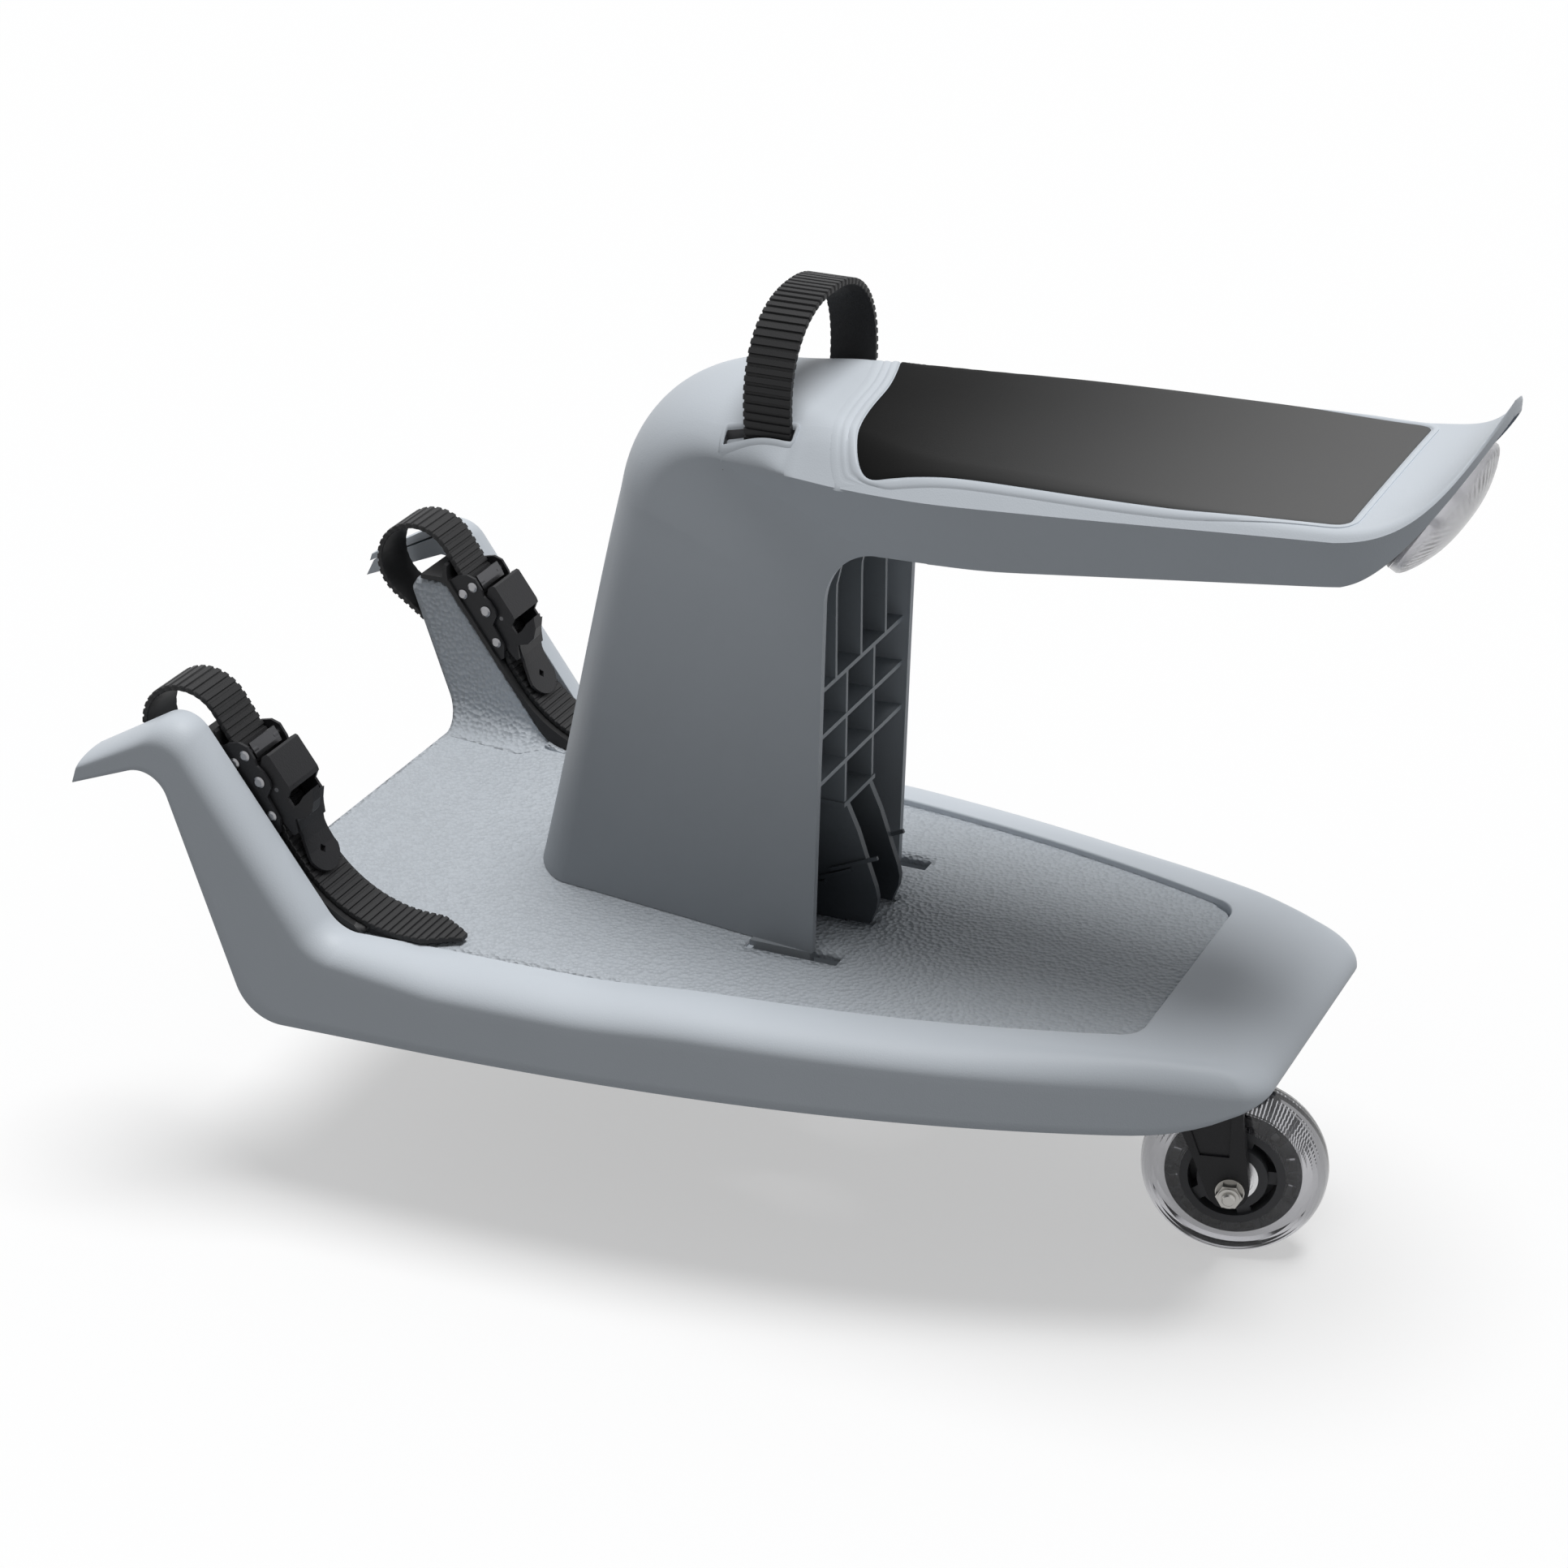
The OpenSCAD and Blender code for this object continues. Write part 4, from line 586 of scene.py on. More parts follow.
def long_rib_outline(y):
    """Side outline of a rib that runs the length of the deck's underside."""
    start = [deck_front_x + 4, deck_z - 2]
    back = [[0, float(skirt_line(0.0)) + 6], [stem_x(95) + 2, skirt_z + 6]]
    if y > 50:
        return [start, [140, deck_z - 2], [160, 110], [150, float(skirt_line(150.0)) + 8], *back]
    bow = [[188, float(crown(188.0)) - 3], [208, 122], [188, float(skirt_line(190.0)) + 10]]
    return [start, [panel_rear_x, deck_z - 2], *bow, *back]


rib_t = 2.4
rib_pitch = 42.0
castor_x = 177
ribs = []
for y in (26, 78):
    for side in (-1, 1):
        middle = y * side
        ribs.append(plate_mesh("rib", long_rib_outline(y), middle - rib_t / 2, middle + rib_t / 2))
for x in np.arange(-179, castor_x, rib_pitch):
    low = float(skirt_line(x)) + 6
    reach = float(half_w(x)) - 3.2
    half = np.array([[reach, low], [reach, 112], [reach - 12, 122], [reach - 12, deck_z - 2]])
    cross = np.concatenate([half[:1] * [-1, 1], half, half[:0:-1] * [-1, 1]])
    ribs.append(plate_mesh("rib", cross, x, x + rib_t, axis=0))


def ring_mesh(name, centre, profile, count=96, angle=35):
    """A closed profile of (radius, height) in mm, turned about the upright line through centre."""
    profile = np.asarray(profile, float)
    turn = np.linspace(0, 2 * np.pi, count, endpoint=False)[:, None]
    x = centre[0] + profile[None, :, 0] * np.cos(turn)
    y = centre[1] + profile[None, :, 0] * np.sin(turn)
    z = np.broadcast_to(profile[None, :, 1], x.shape)
    return grid_mesh(name, np.stack([x, y, z], -1), around=True, along=True, angle=angle)


boss_profile = [[8.5, 93.5], [16.7, 93.5], [17.3, 93.8], [17.5, 94.5], [17.5, 124.5], [8.5, 124.5]]
boss = ring_mesh("boss", (castor_x, 0), boss_profile)
for turn in (90, 180, 270):
    a = math.radians(turn)
    outward = np.array([math.cos(a), math.sin(a)])
    across = np.array([-math.sin(a), math.cos(a)]) * rib_t / 2
    inner = np.array([castor_x, 0]) + outward * 15.5
    outer = inner + outward * 14
    corners = [inner - across, outer - across, outer + across, inner + across]
    ribs.append(plate_mesh("rib", corners, 99.5, 122, axis=2))
board_under = joined("board_under", [front_wall, *hearts, *ribs, boss])


def moulded_group():
    """The look of moulded plastic: a fine pebble, and a faint drift of colour and gloss."""
    group = bpy.data.node_groups.new("moulded_plastic", "ShaderNodeTree")
    sides = {"INPUT": ("Color", "Grain size", "Roughness"), "OUTPUT": ("Color", "Roughness", "Height")}
    for side, names in sides.items():
        for name in names:
            kind = "NodeSocketColor" if name == "Color" else "NodeSocketFloat"
            group.interface.new_socket(name, in_out=side, socket_type=kind)
    into = group.nodes.new("NodeGroupInput").outputs
    place = add_node(group, "TexCoord").outputs["Object"]
    grain = add_node(group, "TexVoronoi", {"Vector": place, "Scale": into["Grain size"]}, feature="F1")
    drift = add_node(group, "TexNoise", {"Vector": place, "Scale": 22.0, "Detail": 3.0})
    tint = add_node(group, "MapRange", {"Value": drift.outputs["Fac"], "To Min": 0.96, "To Max": 1.03})
    colours = {"Factor": 1.0, "A": into["Color"], "B": tint.outputs["Result"]}
    shade = add_node(group, "Mix", colours, data_type="RGBA", blend_type="MULTIPLY")
    gloss = {0: drift.outputs["Fac"], 1: 0.08, 2: into["Roughness"]}
    rough = add_node(group, "Math", gloss, operation="MULTIPLY_ADD")
    results = {"Color": shade.outputs["Result"], "Roughness": rough.outputs[0]}
    results["Height"] = grain.outputs["Distance"]
    feed(group, group.nodes.new("NodeGroupOutput"), results)
    return group


plastic_group = moulded_group()


def bump(tree, height, strength, distance):
    """Gives the tree's shader a relief by the output height."""
    values = {"Height": height, "Strength": strength, "Distance": distance}
    relief = add_node(tree, "Bump", values)
    tree.links.new(relief.outputs["Normal"], tree.nodes["Principled BSDF"].inputs["Normal"])


def plastic(name, colour, roughness, grain=900.0, depth=0.0002, strength=0.35):
    """Moulded plastic with its own colour, gloss and pebble size."""
    material, tree, shader = node_material(name, colour, roughness)
    values = {"Color": (*colour, 1), "Roughness": roughness, "Grain size": grain}
    effect = add_node(tree, "Group", values, node_tree=plastic_group).outputs
    feed(tree, shader, {"Base Color": effect["Color"], "Roughness": effect["Roughness"]})
    feed(tree, shader, {"Specular IOR Level": 0.25})
    bump(tree, effect["Height"], strength, depth)
    return material


def drifting(name, axis, start, end, low, high, roughness):
    """A plastic whose colour drifts from low to high along one axis of the piece, in metres. It paints
    shade and sheen into the colour.
    """
    material = plastic(name, low, roughness, 1500.0, 0.0001, 0.25)
    tree = material.node_tree
    effect = next(node for node in tree.nodes if node.type == "GROUP")
    place = add_node(tree, "TexCoord").outputs["Object"]
    parted = add_node(tree, "SeparateXYZ", {0: place})
    reach = {"Value": parted.outputs[axis], "From Min": start, "From Max": end}
    way = add_node(tree, "MapRange", reach, interpolation_type="SMOOTHSTEP")
    colours = {"Factor": way.outputs["Result"], "A": (*low, 1), "B": (*high, 1)}
    tint = add_node(tree, "Mix", colours, data_type="RGBA")
    feed(tree, effect, {"Color": tint.outputs["Result"]})
    return material


shell_colour = (0.62, 0.665, 0.715)
shell = plastic("shell_smooth", shell_colour, 0.42, 1400.0, 0.0001, 0.25)
deck_colour = tuple(0.82 * c for c in shell_colour)
shell_pebbled = plastic("shell_pebbled", deck_colour, 0.46, 450.0, 0.0013, 0.95)
for piece in (board_rim, board_under, board_deck, *troughs):
    piece.data.materials.append(shell if piece in (board_rim, board_under) else shell_pebbled)
    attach(piece, "board")
    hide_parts("board_shell")

# Castor
# A black socket and fork in glass-filled nylon, a steel stem and axle, and an 80 mm wheel
# with a clear cast tyre on a dark grey spoked hub.


def dress(node, material):
    """Gives a piece that is shown as it was modelled its material."""
    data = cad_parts[node].data
    data.materials.clear()
    data.materials.append(material)


black_plastic = plastic("black_nylon", (0.020, 0.020, 0.022), 0.42, 1100.0, 0.0001, 0.3)
dark_plastic = plastic("hub_plastic", (0.085, 0.086, 0.092), 0.3, 1100.0, 0.0001, 0.2)


def uneven(tree, scale, low, high):
    """Gives the tree's shader a roughness that runs from low to high, and returns its pattern."""
    place = add_node(tree, "TexCoord").outputs["Object"]
    pattern = add_node(tree, "TexNoise", {"Vector": place, "Scale": scale}).outputs["Fac"]
    gloss = add_node(tree, "MapRange", {"Value": pattern, "To Min": low, "To Max": high})
    tree.links.new(gloss.outputs["Result"], tree.nodes["Principled BSDF"].inputs["Roughness"])
    return pattern


def metal(name, colour, roughness):
    """Turned metal: bright, with fine uneven streaks in its gloss."""
    material, tree, shader = node_material(name, colour, roughness)
    shader.inputs["Metallic"].default_value = 1.0
    bump(tree, uneven(tree, 700.0, roughness * 0.8, roughness * 1.3), 0.1, 0.0001)
    return material


steel = metal("zinc_steel", (0.70, 0.70, 0.71), 0.28)
dark_metal = metal("blackened_steel", (0.10, 0.10, 0.105), 0.34)

for node in ("castor_socket", "castor_fork"):
    dress(node, black_plastic)
dress("wheel_hub", dark_plastic)
axle_steel = metal("axle_steel", (0.42, 0.41, 0.39), 0.3)
for node in ("wheel_axle", "axle_nut", "axle_washers"):
    dress(node, axle_steel)
for node in ("grip_ring", "castor_stem", "axle_spacer", "bearing_inner_rings", "bearing_outer_rings"):
    dress(node, steel)
dress("thrust_washer", plastic("white_acetal", (0.72, 0.72, 0.70), 0.4))


def clear_material(name, colour, roughness, ior):
    """Clear cast plastic with a faint haze and flow marks."""
    material, tree, shader = node_material(name, colour, roughness)
    feed(tree, shader, {"Transmission Weight": 1.0, "IOR": ior})
    uneven(tree, 120.0, roughness, roughness + 0.06)
    return material


dress("wheel_tyre", clear_material("clear_tyre", (0.47, 0.47, 0.49), 0.03, 1.45))

# Straps, liners and buckles
# Black ladder straps in glass-filled nylon over a soft liner, with black coated buckles.

rivet_steel = metal("rivet_steel", (0.30, 0.30, 0.31), 0.3)
for side in ("left", "right"):
    dress(f"strap_bolt_{side}", rivet_steel)
    for node in ("buckle_base", "ratchet_lever"):
        dress(f"{node}_{side}", black_plastic)
    dress(f"drive_pawl_{side}", dark_metal)
    dress(f"release_pawl_{side}", dark_metal)
    for node in ("buckle_rivets", "lever_pin", "pawl_pin"):
        dress(f"{node}_{side}", rivet_steel)


strap_black = plastic("strap_nylon", (0.022, 0.022, 0.023), 0.45, 1500.0, 0.0001, 0.3)


def distances(path):
    """Distance along a path at each of its points."""
    return np.concatenate([[0], np.cumsum(np.linalg.norm(np.diff(path, axis=0), axis=1))])


def sampled(places, run, rows):
    """Rows that are known at the distances run, read at other places along the way."""
    return np.stack([np.interp(places, run, rows[:, k]) for k in range(2)], -1)


def even_path(points, step=0.5, ease=5):
    """The path through points at even steps, with its corners eased over a few steps."""
    points = np.asarray(points, float)
    run = distances(points)
    path = sampled(np.linspace(0, run[-1], int(run[-1] / step) + 1), run, points)
    core = np.ones(ease) / ease
    held = np.pad(path, ((ease // 2, ease // 2), (0, 0)), "edge")
    return np.stack([np.convolve(held[:, k], core, "valid") for k in range(2)], -1)


def ladder_band(name, points, half, thick, pitch, rib_h, tip, place):
    """A ribbed band: points are the way of its inner face in side view, its outer face lies to
    the left with a flat-topped rib at each pitch, and it narrows to a blunt point over tip mm.
    place turns arrays of (first, across, second) into x, y and z."""
    path = even_path(points)
    run = distances(path)
    ahead = units(np.gradient(path, axis=0))
    starts = np.arange(1.0, run[-1] - pitch, pitch)[:, None]
    stations = (starts + np.array([0.0, 0.35, 0.64 * pitch, 0.64 * pitch + 0.35])).ravel()
    raised = np.tile([0.0, 1.0, 1.0, 0.0], len(starts))
    stations = np.concatenate([[0.0], stations, [run[-1]]])
    raised = np.concatenate([[0.0], raised, [0.0]])
    base, way = sampled(stations, run, path), sampled(stations, run, ahead)
    left = np.stack([-way[:, 1], way[:, 0]], -1)
    reach = half + 0.2 * raised
    if tip:
        reach = np.minimum(reach, 2.4 + (run[-1] - stations) * (half - 2.4) / tip)
    top = thick + rib_h * raised
    edge = 0.3
    inner = reach - edge
    across = np.stack([-inner, inner, reach, reach, inner, -inner, -reach, -reach], -1)
    flat = np.zeros_like(top)
    height = np.stack([flat, flat, flat + edge, top - edge, top, top, top - edge, flat + edge], -1)
    first, second = (base[:, None, k] + left[:, None, k] * height for k in (0, 1))
    return grid_mesh(name, place(first, across, second), around=True, caps=True, angle=32)


strap_y = board_half_w - hook_w - channel_w / 2
rest = 0.3
loop_o = np.array([-245.5, 208.5])
loop_r = 18.0
under_t = -channel_d - 4.0 - rest
liner_top = 2.5 - channel_d
tail_z = deck_z + 2
loop_turn = np.radians(np.linspace(234.4, 35.5, 90))
loop_arc = arc(loop_o, loop_r, loop_turn)
run_corner = cross_point(loop_arc[0], 234.4 - 270, at(0, under_t), -arm_angle)
tail_corner = cross_point(at(0, liner_top + rest), -arm_angle, np.array([0, tail_z]), 0)
strap_way = np.concatenate(
    [
        [at(60, under_t)],
        round_corner(at(60, under_t), run_corner, loop_arc[0], 14, 16),
        loop_arc,
        [at(-10, 1.1), at(-2, 0.35), at(8, -1.1), at(29, -1.1), at(34, liner_top + rest)],
        round_corner(at(30, liner_top + rest), tail_corner, [-119, tail_z], 60, 24),
        [[-119.0, tail_z]],
    ]
)
for side, name in ((1, "left"), (-1, "right")):
    strap = ladder_band(
        f"axle_strap_form_{name}",
        strap_way,
        half=11.6,
        thick=2.05,
        pitch=3.5,
        rib_h=0.6,
        tip=15.0,
        place=lambda first, across, second: np.stack([first, side * strap_y + across, second], -1),
    )
    liner_name = f"arm_liner_form_{name}"
    liner_mesh = merged(liner_name, [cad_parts[f"arm_liner_{name}"].data])
    liner = finish_mesh(liner_name, liner_mesh, 35)
    for piece, slot, node in (
        (strap, "strap_plastic", "axle_strap"),
        (liner, "liner_rubber", "arm_liner"),
    ):
        piece.data.materials.append(strap_black)
        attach(piece, "board")
        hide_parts(f"{node}_{name}")

# Seat
# One hollow moulding in the same plastic: a column that leans back over the deck and a beam
# that runs to an upturned tail. A thin foam pad is glued into its top, a ribbed grab strap
# stands in two slots, and a round reflector is screwed under the tail.

base_z = 128.3
seat_wall = 3.4
beam_x = 238.0
tail_tip_x = 286.0
beam_lift = 6.5
beam_angle = 1.95
rise = math.tan(math.radians(beam_angle))
crease_foot = np.array([-107.0, base_z])
crease_top = np.array([-22.0, base_z + 215.0])
crease_peak = cross_point(crease_foot, 90 - 14.5, crease_top, beam_angle)
crease_end = crease_top + (beam_x - crease_top[0]) * np.array([1, rise])
arch_foot = np.array([18.5, base_z])
arch_knee = np.array([24.0, base_z + 184.3])
arch_end = np.array([beam_x + 3, arch_knee[1] + 27.5])
crown_bend_r = 36
arch_bend_r = 28
strap_slot_x = (-23.4, 7.8)
strap_slot_y = (40.4, 45.8)
slot_v = (0.79, 0.87)


def bent_path(foot, peak, end, share, radius, shares):
    """A path up from foot, round the corner at peak and on to end, at the given shares of its
    last straight part."""
    corner = round_corner(foot, peak, end, radius, 32)
    upright = between(foot, foot + (peak - foot) * share, 24, ends=False)
    ease = between(foot + (peak - foot) * share, corner[0], 4, ends=False)
    last = corner[-1] + (end - corner[-1]) * np.asarray(shares)[:, None]
    return np.concatenate([upright, ease, corner, last])


def seat_fields():
    """The seat's sections from the foot of the nose to the tip of the tail, as arrays: crease
    and arch points in side view, their half widths, the crown's depth, its roundness and its
    direction."""
    bend = round_corner(crease_foot, crease_peak, crease_end, crown_bend_r, 32)
    start_x = float(bend[-1][0])
    top_x = np.unique(np.concatenate([np.linspace(start_x, beam_x, 72)[1:], strap_slot_x]))
    shares = (top_x - start_x) / (beam_x - start_x)
    c = bent_path(crease_foot, crease_peak, crease_end, 0.86, crown_bend_r, shares)
    a = bent_path(arch_foot, arch_knee, arch_end, 0.84, arch_bend_r, shares)
    # The stations count from 0 at the foot over 4 and 5 at the bend's start to 13 at its end
    foot_part = np.linspace(0, 4, 24, endpoint=False)
    order = np.concatenate([foot_part, [4, 4.25, 4.5, 4.75], np.linspace(5, 13, 33), 13 + 7 * shares])
    low = c[:, 1] < 304
    nose = low & (c[:, 0] < -45)
    beam = smooth((c[:, 0] + 62) / 150)
    c_half = np.where(
        nose,
        33 + 9.4 * (np.maximum(c[:, 1] - base_z, 0) / 174) ** 1.2,
        42.5 + 26 * beam - 1.8 * smooth((c[:, 0] - 120) / 118),
    )
    a_half = 48.5 + np.where(a[:, 1] < 250, 0, 15.5 * smooth((a[:, 0] - 15) / 95))
    up = smooth((c[:, 1] - 128) / 170)
    ends = 2 - 11.5 * smooth((c[:, 0] + 40) / 120) - 4 * smooth((c[:, 0] - 80) / 158)
    depth = 24 + np.where(low, 2 * up, ends)
    power = np.where(low, 1.6 + 0.25 * up, 1.85 + 2.9 * smooth((c[:, 0] + 25) / 85))
    turn = np.radians(np.where(order < 4, 180 - order, 176 - 86 * smooth((order - 4) / 9)))
    # Towards the tail the crease climbs nearer to the crown
    lift = np.where(low, 0, beam_lift * np.clip((c[:, 0] - 30) / (beam_x - 30), 0, 1))
    c[:, 1] += lift
    depth = depth - lift
    x = beam_x + (tail_tip_x - beam_x) * np.sin(np.linspace(0, np.pi / 2, 48))[1:]
    t = (x - beam_x) / (tail_tip_x - beam_x)
    tail_half = 66.7 * (1 - (0.999 * t) ** 2.1) ** (1 / 2.1)
    tail_low = arch_end[1] + 0.127 * (x - beam_x) + 47 * t**1.85
    tail_c = np.stack([x, tail_low + 12.05 + beam_lift - 14.5 * smooth(t / 0.85)], -1)
    tail_a = np.stack([x + 3 * (1 - t) ** 3, tail_low], -1)
    upward = np.tile([0.0, 1.0], (len(x), 1))
    fields = [
        np.concatenate([c, tail_c]),
        np.concatenate([a, tail_a]),
        np.concatenate([c_half, tail_half])[:, None],
        np.concatenate([a_half, tail_half - 2.7 * (1 - t) - 0.4])[:, None],
        np.concatenate([depth, 10.5 - beam_lift - 1.2 * t])[:, None],
        np.concatenate([power, np.full(len(x), 4.75)])[:, None],
        np.concatenate([np.stack([np.cos(turn), np.sin(turn)], -1), upward]),
    ]
    # The beam's lines bend softly into the tail
    for line in fields[:2]:
        for _ in range(14):
            bent = line[:, 1].copy()
            bent[1:-1] = (line[:-2, 1] + line[1:-1, 1] + line[2:, 1]) / 3
            line[:, 1] = np.where(line[:, 0] > 205, bent, line[:, 1])
    for k in (2, 3, 4):
        held = fields[k]
        eased = held.copy()
        eased[2:-2] = (held[:-4] + held[1:-3] + held[2:-2] + held[3:-1] + held[4:]) / 5
        fields[k] = eased
    return fields


crease, arch, crease_half, arch_half, crown_depth, crown_power, crown_way = seat_fields()


def crown_height(v, depth, power, half):
    """Height of the crown over the crease line at v half widths from the middle. On the nose
    it is depth * (1 - v**power)**(1 / power). On the beam it is the lesser of a slope of 50
    degrees up from the crease and a flat arch, blended over 0.45 of the depth."""
    v = np.minimum(np.abs(v), 1)
    nose = depth * (1 - v**power) ** (1 / power)
    slope = 1.19 * half * (1 - v)
    flat_arch = depth * (1 - 0.16 * v**3)
    ease = 0.45 * depth
    mix = np.maximum(ease - np.abs(slope - flat_arch), 0) / ease
    beam = np.minimum(slope, flat_arch) - mix * mix * ease / 4
    share = smooth((power - 1.86) / 1.2)
    return nose * (1 - share) + beam * share


def crown_z(x, y):
    """Height of the seat's top over the point x, y, for x over the beam and the tail."""
    flat = crease[:, 0] > -24
    fields = (crease[:, 1:], crease_half, crown_depth, crown_power)
    low, half, depth, power = (np.interp(x, crease[flat, 0], field[flat, 0]) for field in fields)
    return low + crown_height(np.abs(y) / half, depth, power, half)


half_v = np.unique(np.concatenate([np.sin(np.radians(np.linspace(0, 90, 27))), slot_v]))
crown_v = np.concatenate([half_v[::-1], -half_v[1:]])
side_t = np.linspace(0, 1, 9)[:-1]


def seat_form():
    """The seat as a closed skin: one closed section at each station, outside and inside. Each
    section goes up one side panel, over the crown and down the other. Two columns of the crown
    are moved on to the edges of the strap slots, whose faces are left out."""
    near = smooth((crease[:, 0:1] + 45) / 20) * (1 - smooth((crease[:, 0:1] - 12) / 60))
    y_in = np.minimum(strap_slot_y[0] / crease_half, 0.86) * near + slot_v[0] * (1 - near)
    y_out = np.minimum(strap_slot_y[1] / crease_half, 0.968) * near + slot_v[1] * (1 - near)
    v = [
        np.interp(np.abs(crown_v), [0, *slot_v, 1], [0, inner[0], outer[0], 1])
        for inner, outer in zip(y_in, y_out)
    ]
    v = np.stack(v) * np.sign(crown_v)
    skins = []
    for gap in (0.0, seat_wall):
        room = crown_depth + (crease[:, 1:2] - arch[:, 1:2]) / 2
        wall = np.minimum(gap, room)
        high = crown_height(v, crown_depth - wall, crown_power, crease_half)
        over_x, over_z = (crease[:, k : k + 1] + crown_way[:, k : k + 1] * high for k in (0, 1))
        over = np.stack([over_x, (crease_half - wall) * v, over_z], -1)
        low = np.stack([arch[:, 0], arch_half[:, 0] - wall[:, 0], arch[:, 1]], -1)[:, None, :]
        rise_t = side_t[None, :, None]
        first = low * (1 - rise_t) + over[:, :1] * rise_t
        other = (low * [1, -1, 1]) * (1 - rise_t) + over[:, -1:] * rise_t
        skins.append(np.concatenate([first, over, other[:, ::-1]], 1))
    grid = np.concatenate([skins[0], skins[1][:, ::-1]], 1)
    rows, cols = grid.shape[:2]
    i, j = np.meshgrid(np.arange(rows - 1), np.arange(cols), indexing="ij")
    j2 = (j + 1) % cols
    mid_x = (crease[i, 0] + crease[i + 1, 0]) / 2
    column = np.abs(np.concatenate([0 * side_t + 2, crown_v, 0 * side_t + 2]))
    column = np.concatenate([column, 0 * column + 2])
    mid_v = (column[j] + column[j2]) / 2
    cut = within(mid_x, *strap_slot_x) & within(mid_v, *slot_v)
    row, next_row = i * cols, (i + 1) * cols
    quads = np.stack([row + j, row + j2, next_row + j2, next_row + j], -1)[~cut]
    first_end = list(range(cols - 1, -1, -1))
    last_end = [(rows - 1) * cols + k for k in range(cols)]
    faces = [*quads.tolist(), first_end, last_end]
    return skin("seat_skin", grid, faces, 28)


def way_round(outline):
    """Direction along a closed outline at each of its points."""
    return units(np.roll(outline, -1, 0) - np.roll(outline, 1, 0))


def crown_ring(name, outline, profile):
    """A closed strip along a closed outline on the crown: profile gives distances outward from
    the outline and heights over the crown, one row for all points or one for each."""
    ahead = way_round(outline)
    profile = np.broadcast_to(profile, (len(outline), *np.shape(profile)[-2:]))
    x = outline[:, 0:1] + ahead[:, 1:2] * profile[:, :, 0]
    y = outline[:, 1:2] - ahead[:, 0:1] * profile[:, :, 0]
    grid = np.stack([x, y, crown_z(x, y) + profile[:, :, 1]], -1)
    return grid_mesh(name, grid, around=True, along=True, angle=50)


pad_front = 28.0
pad_rear = 241.0
pad_nose = 20
pad_tail = 6
pad_up = 0.65


def pad_half(x):
    """Half width of the pad: a blunt curve of power 3 in front, then slowly narrowing."""
    f = np.clip((x - pad_front) / pad_nose, 0, 1)
    g = np.clip((pad_rear - x) / pad_tail, 0, 1)
    wide = 60.5 + 1.9 * smooth((x - 75) / 85) - 4.6 * smooth((x - 170) / 75)
    wide = wide * (1 - (1 - f) ** 3) ** (1 / 3)
    return wide * (0.92 + 0.08 * np.sqrt(1 - (1 - g) ** 2))


def pad_outline():
    """The pad's outline in plan at even steps, anticlockwise from its rear end."""
    nose_x = pad_front + pad_nose * (1 - np.cos(np.linspace(0, np.pi / 2, 60))) ** 1.3
    side_x = np.linspace(pad_front + pad_nose, pad_rear - pad_tail, 66)[1:]
    rear_x = pad_rear - pad_tail + pad_tail * np.sin(np.linspace(0, np.pi / 2, 12))[1:]
    x = np.concatenate([nose_x, side_x, rear_x])
    y = pad_half(x)
    half = np.stack([x, y], -1)[::-1]
    loop = np.concatenate([half, (half * [1, -1])[::-1][1:], [[pad_rear, 0.0]]])
    # Its front edge stands slightly askew, as the photographed one does
    skew = 0.1 * loop[:, 1] + 0.0045 * np.maximum(loop[:, 1], 0) ** 2
    loop[:, 0] -= skew * (1 - smooth((loop[:, 0] - pad_front) / 70))
    loop = np.concatenate([loop, loop[:1]])
    return even_path(loop, 1.6, 3)[:-1]


def slot_loop(side):
    """The edge of one strap slot in plan, a rectangle with small round corners."""
    cx, cy = np.mean(strap_slot_x), np.mean(strap_slot_y) * side
    hx, hy, r = np.ptp(strap_slot_x) / 2, np.ptp(strap_slot_y) / 2, 0.8
    points = []
    for k, (sx, sy) in enumerate(((1, 1), (-1, 1), (-1, -1), (1, -1))):
        turn = np.radians(90 * k + np.linspace(0, 90, 7))
        corner = np.array([cx + sx * (hx - r), cy + sy * (hy - r)])
        points.append(arc(corner, r, turn))
    loop = np.concatenate([*points, points[0][:1]])
    return even_path(loop, 0.8, 1)[:-1]


# The seat shell is painted darker towards its foot, down to 0.45 of its colour at 0.11 m: painted
# shade.
seat_painted_shade = tuple(0.45 * c for c in shell_colour)
seat_shell_shaded = drifting("seat_shell", "Z", 0.11, 0.34, seat_painted_shade, shell_colour, 0.42)
parts = [seat_form()]
shade_pockets = []
bezel = [(-0.5, -1.5), (-0.5, 0.1), (-0.1, 0.85), (0.45, 1.0), (0.95, 0.8), (1.3, 0.1), (1.4, -0.6)]
# The pockets are dark sheets of hub plastic down inside the strap slots: painted shade in the slots.
pocket = [(-0.55, -0.6), (-0.55, -9.0), (0.3, -9.0), (0.3, -1.2)]
for side in (1, -1):
    parts.append(crown_ring("bezel", slot_loop(side), bezel))
    shade_pockets.append(crown_ring("pocket", slot_loop(side), pocket))
    for box_x, box_y, box_z in (
        ((-10.5, 17.5), (44.2, 48.2), (119.5, 128.5)),
        ((-22.0, -10.5), (44.2, 53.1), (119.5, 123.5)),
    ):
        (x0, x1), (y0, y1) = box_x, np.multiply(box_y, side)
        parts.append(plate_mesh("tab", [(x0, y0), (x1, y0), (x1, y1), (x0, y1)], *box_z, axis=2))
around_pad = pad_outline()
front = 1 - smooth((around_pad[:, 0:1] - 34) / 22)
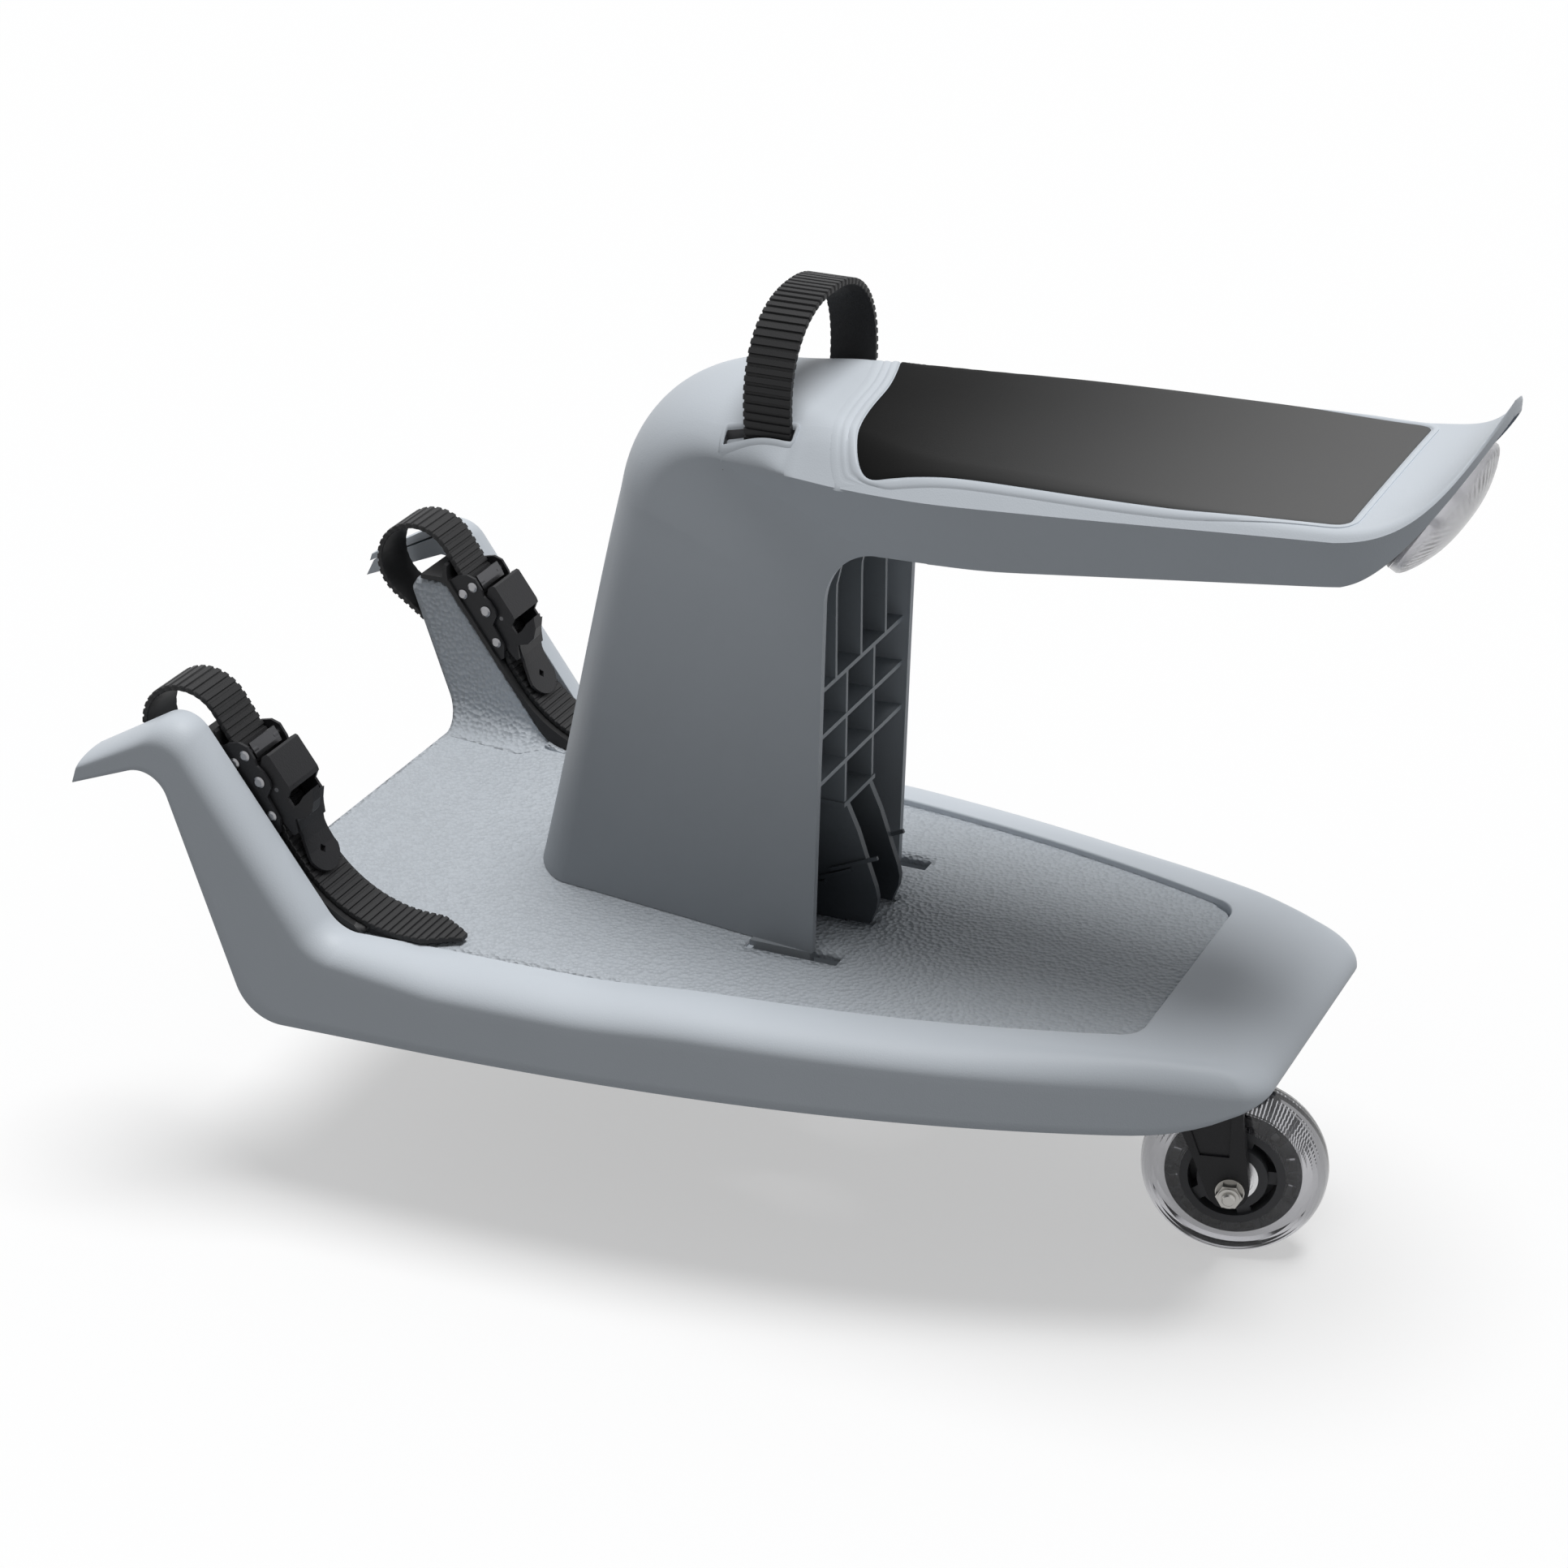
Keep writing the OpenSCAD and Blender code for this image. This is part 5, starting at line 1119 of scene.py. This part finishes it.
# A raised lip and two shallow grooves, as distances out from the pad and heights
lip_rows = [(0.35, -1.4), (0.35, 0.1), (0.7, 0.5), (1.2, 0.7), (2.3, 0.7), (3.0, 0.45), (3.8, 0.0)]
lip_rows += [(4.6, 0.25), (5.4, 0.4), (6.2, 0.3), (7.0, -0.05), (7.9, 0.18), (8.8, 0.22), (10.0, 0.15)]
lip_rows += [(11.5, -0.1), (12.0, -1.0), (1.5, -1.4)]
lip_out, lip_up = np.transpose(lip_rows)
squeeze = np.where(lip_out > 3.0, 3.0 + (lip_out - 3.0) * (0.12 + 0.88 * front), lip_out)
room = np.interp(around_pad[:, 0], crease[60:, 0], crease_half[60:, 0])
room -= np.abs(around_pad[:, 1]) + 1.2
room = np.maximum(room, 1.0) / np.maximum(np.abs(way_round(around_pad)[:, 0]), 0.1)
squeeze = squeeze * np.minimum(1, room / squeeze.max(1))[:, None]
lowered = np.where((lip_out > 3.4) & (lip_up > -0.5), lip_up * front - 0.25 * (1 - front), lip_up)
lips = np.stack([squeeze, lowered], -1)
parts.append(crown_ring("pad_lip", around_pad, lips))
seat = joined("seat_form", parts)
shade_pocket = joined("slot_shade_pockets", shade_pockets)
for piece, material in ((shade_pocket, dark_plastic), (seat, seat_shell_shaded)):
    piece.data.materials.append(material)
    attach(piece, "seat")
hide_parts("seat_shell")

# The rib lattice inside the seat, with painted shade: darker than the shell all over, darkest at its
# foot and paler under the arch
lattice_deep_shade = (0.045, 0.052, 0.060)
lattice_soft_shade = (0.33, 0.36, 0.39)
dress("seat_lattice", drifting("seat_ribs_painted_shade", "Z", 0.14, 0.215, lattice_deep_shade, lattice_soft_shade, 0.42))

# The pad: a foam sheet with a rounded edge, laid over the crown
# The foam is painted from near black at its front to mid grey towards the tail: a painted sheen.
pad_painted_sheen = drifting("pad_foam", "X", 0.02, 0.25, (0.006, 0.006, 0.006), (0.13, 0.13, 0.13), 0.6)
pad_painted_sheen.node_tree.nodes["Principled BSDF"].inputs["Specular IOR Level"].default_value = 0.05
spine = np.stack([np.clip(around_pad[:, 0], 70, 205), 0 * around_pad[:, 0]], -1)


def pad_ring(ring, up):
    """A ring of points in plan, laid at a height over the crown."""
    return np.stack([ring[:, 0], ring[:, 1], crown_z(ring[:, 0], ring[:, 1]) + up], -1)


inward = units(spine - around_pad)
edge_rows = [(0.8, -1.2), (0.1, -1.0), (0.0, -0.5), (0.1, 0.0), (0.4, 0.35), (0.9, 0.55)]
edge_rows += [(1.6, 0.62), (3.0, pad_up)]
pad_rows = [pad_ring(around_pad + inward * inset, up) for inset, up in edge_rows]
low_ring, top_ring = pad_rows[0][:, :2], pad_rows[-1][:, :2]
for share in np.linspace(0, 1, 22)[1:]:
    pad_rows.append(pad_ring(top_ring * (1 - share) + spine * share, pad_up))
under_rows = [pad_ring(low_ring * (1 - a) + spine * a, -1.2) for a in np.linspace(0, 1, 12)]
pad_grid = np.stack(under_rows[::-1] + pad_rows[1:])
seat_pad = grid_mesh("seat_pad_form", pad_grid, around=True, angle=50)
seat_pad.data.materials.append(pad_painted_sheen)
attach(seat_pad, "seat")
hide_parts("seat_pad")

# The grab strap: one ribbed band over an arch, its ends screwed inside the seat
grab_half = 42.0
grab_turn = np.radians(np.linspace(180, 0, 121))
grab_x = np.sign(np.cos(grab_turn)) * np.abs(np.cos(grab_turn)) ** 0.86
grab_arc = np.stack([grab_half * grab_x, 366 + 38 * np.abs(np.sin(grab_turn)) ** 0.86], -1)
grab_way = np.concatenate([[[3 - grab_half, 322.0]], grab_arc, [[grab_half - 3, 322.0]]])
grab = ladder_band(
    "grab_strap_form",
    grab_way,
    half=10.2,
    thick=2.0,
    pitch=3.55,
    rib_h=0.8,
    tip=0,
    place=lambda first, across, second: np.stack([across - 4, first, second], -1),
)
grab.data.materials.append(strap_black)
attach(grab, "seat")
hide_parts("grab_strap")
dress("grab_strap_screws", steel)


def lens_form(name, profile, ripple=0.0, count=192):
    """A closed profile of (radius, height) turned about the reflector's axis. Outside 20 mm the
    heights ripple by the cosine of 48 times the angle. What lies below -4 is shallow at the top
    and deep at the bottom, by 0.55 + 0.45 times the cosine of the angle."""
    profile = np.asarray(profile, float)
    turn = np.linspace(0, 2 * np.pi, count, endpoint=False)[:, None]
    radius = profile[None, :, 0] + 0 * turn
    wave = ripple * np.cos(48 * turn) * smooth((radius - 20) / 6)
    height = profile[None, :, 1] + wave * (profile[None, :, 1] > 1)
    height = np.where(height < -4, -4 + (height + 4) * (0.55 + 0.45 * np.cos(turn)), height)
    tilt = math.radians(121.5)
    x = 263.5 + math.sin(tilt) * height + math.cos(tilt) * radius * np.cos(turn)
    y = radius * np.sin(turn)
    z = 352.1 + math.cos(tilt) * height - math.sin(tilt) * radius * np.cos(turn)
    return grid_mesh(name, np.stack([x, y, z], -1), around=True, along=True, angle=40)


dome_r = np.linspace(0.3, 30.4, 16)
dome = np.stack([dome_r, 9.0 - 8.5 * (dome_r / 31) ** 2.4], -1)
lens_rows = [*dome.tolist(), [31.2, -0.4], [31.2, -3.6], [29.4, -3.6], [29.0, -0.6]]
lens_rows += [[r, h - 1.8] for r, h in dome[::-1].tolist() if r < 28.8]
lens = lens_form("reflector_lens_form", lens_rows, 0.2)
lens.data.materials.append(clear_material("clear_lens", (0.80, 0.80, 0.82), 0.22, 1.49))
housing_rows = [[0.3, -2.0], [28.6, -2.0], [28.6, -3.8], [31.4, -3.8], [30.6, -7.0]]
housing_rows += [[24, -15], [18, -15], [18, -8], [0.3, -8]]
housing = lens_form("reflector_housing_form", housing_rows)
housing.data.materials.append(plastic("reflector_backing", (0.24, 0.24, 0.26), 0.3))
for piece, node, slot in (
    (lens, "reflector_lens", "clear_lens"),
    (housing, "reflector_base", "black_plastic"),
):
    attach(piece, "seat")
    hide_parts(node)
dress("reflector_screws", steel)
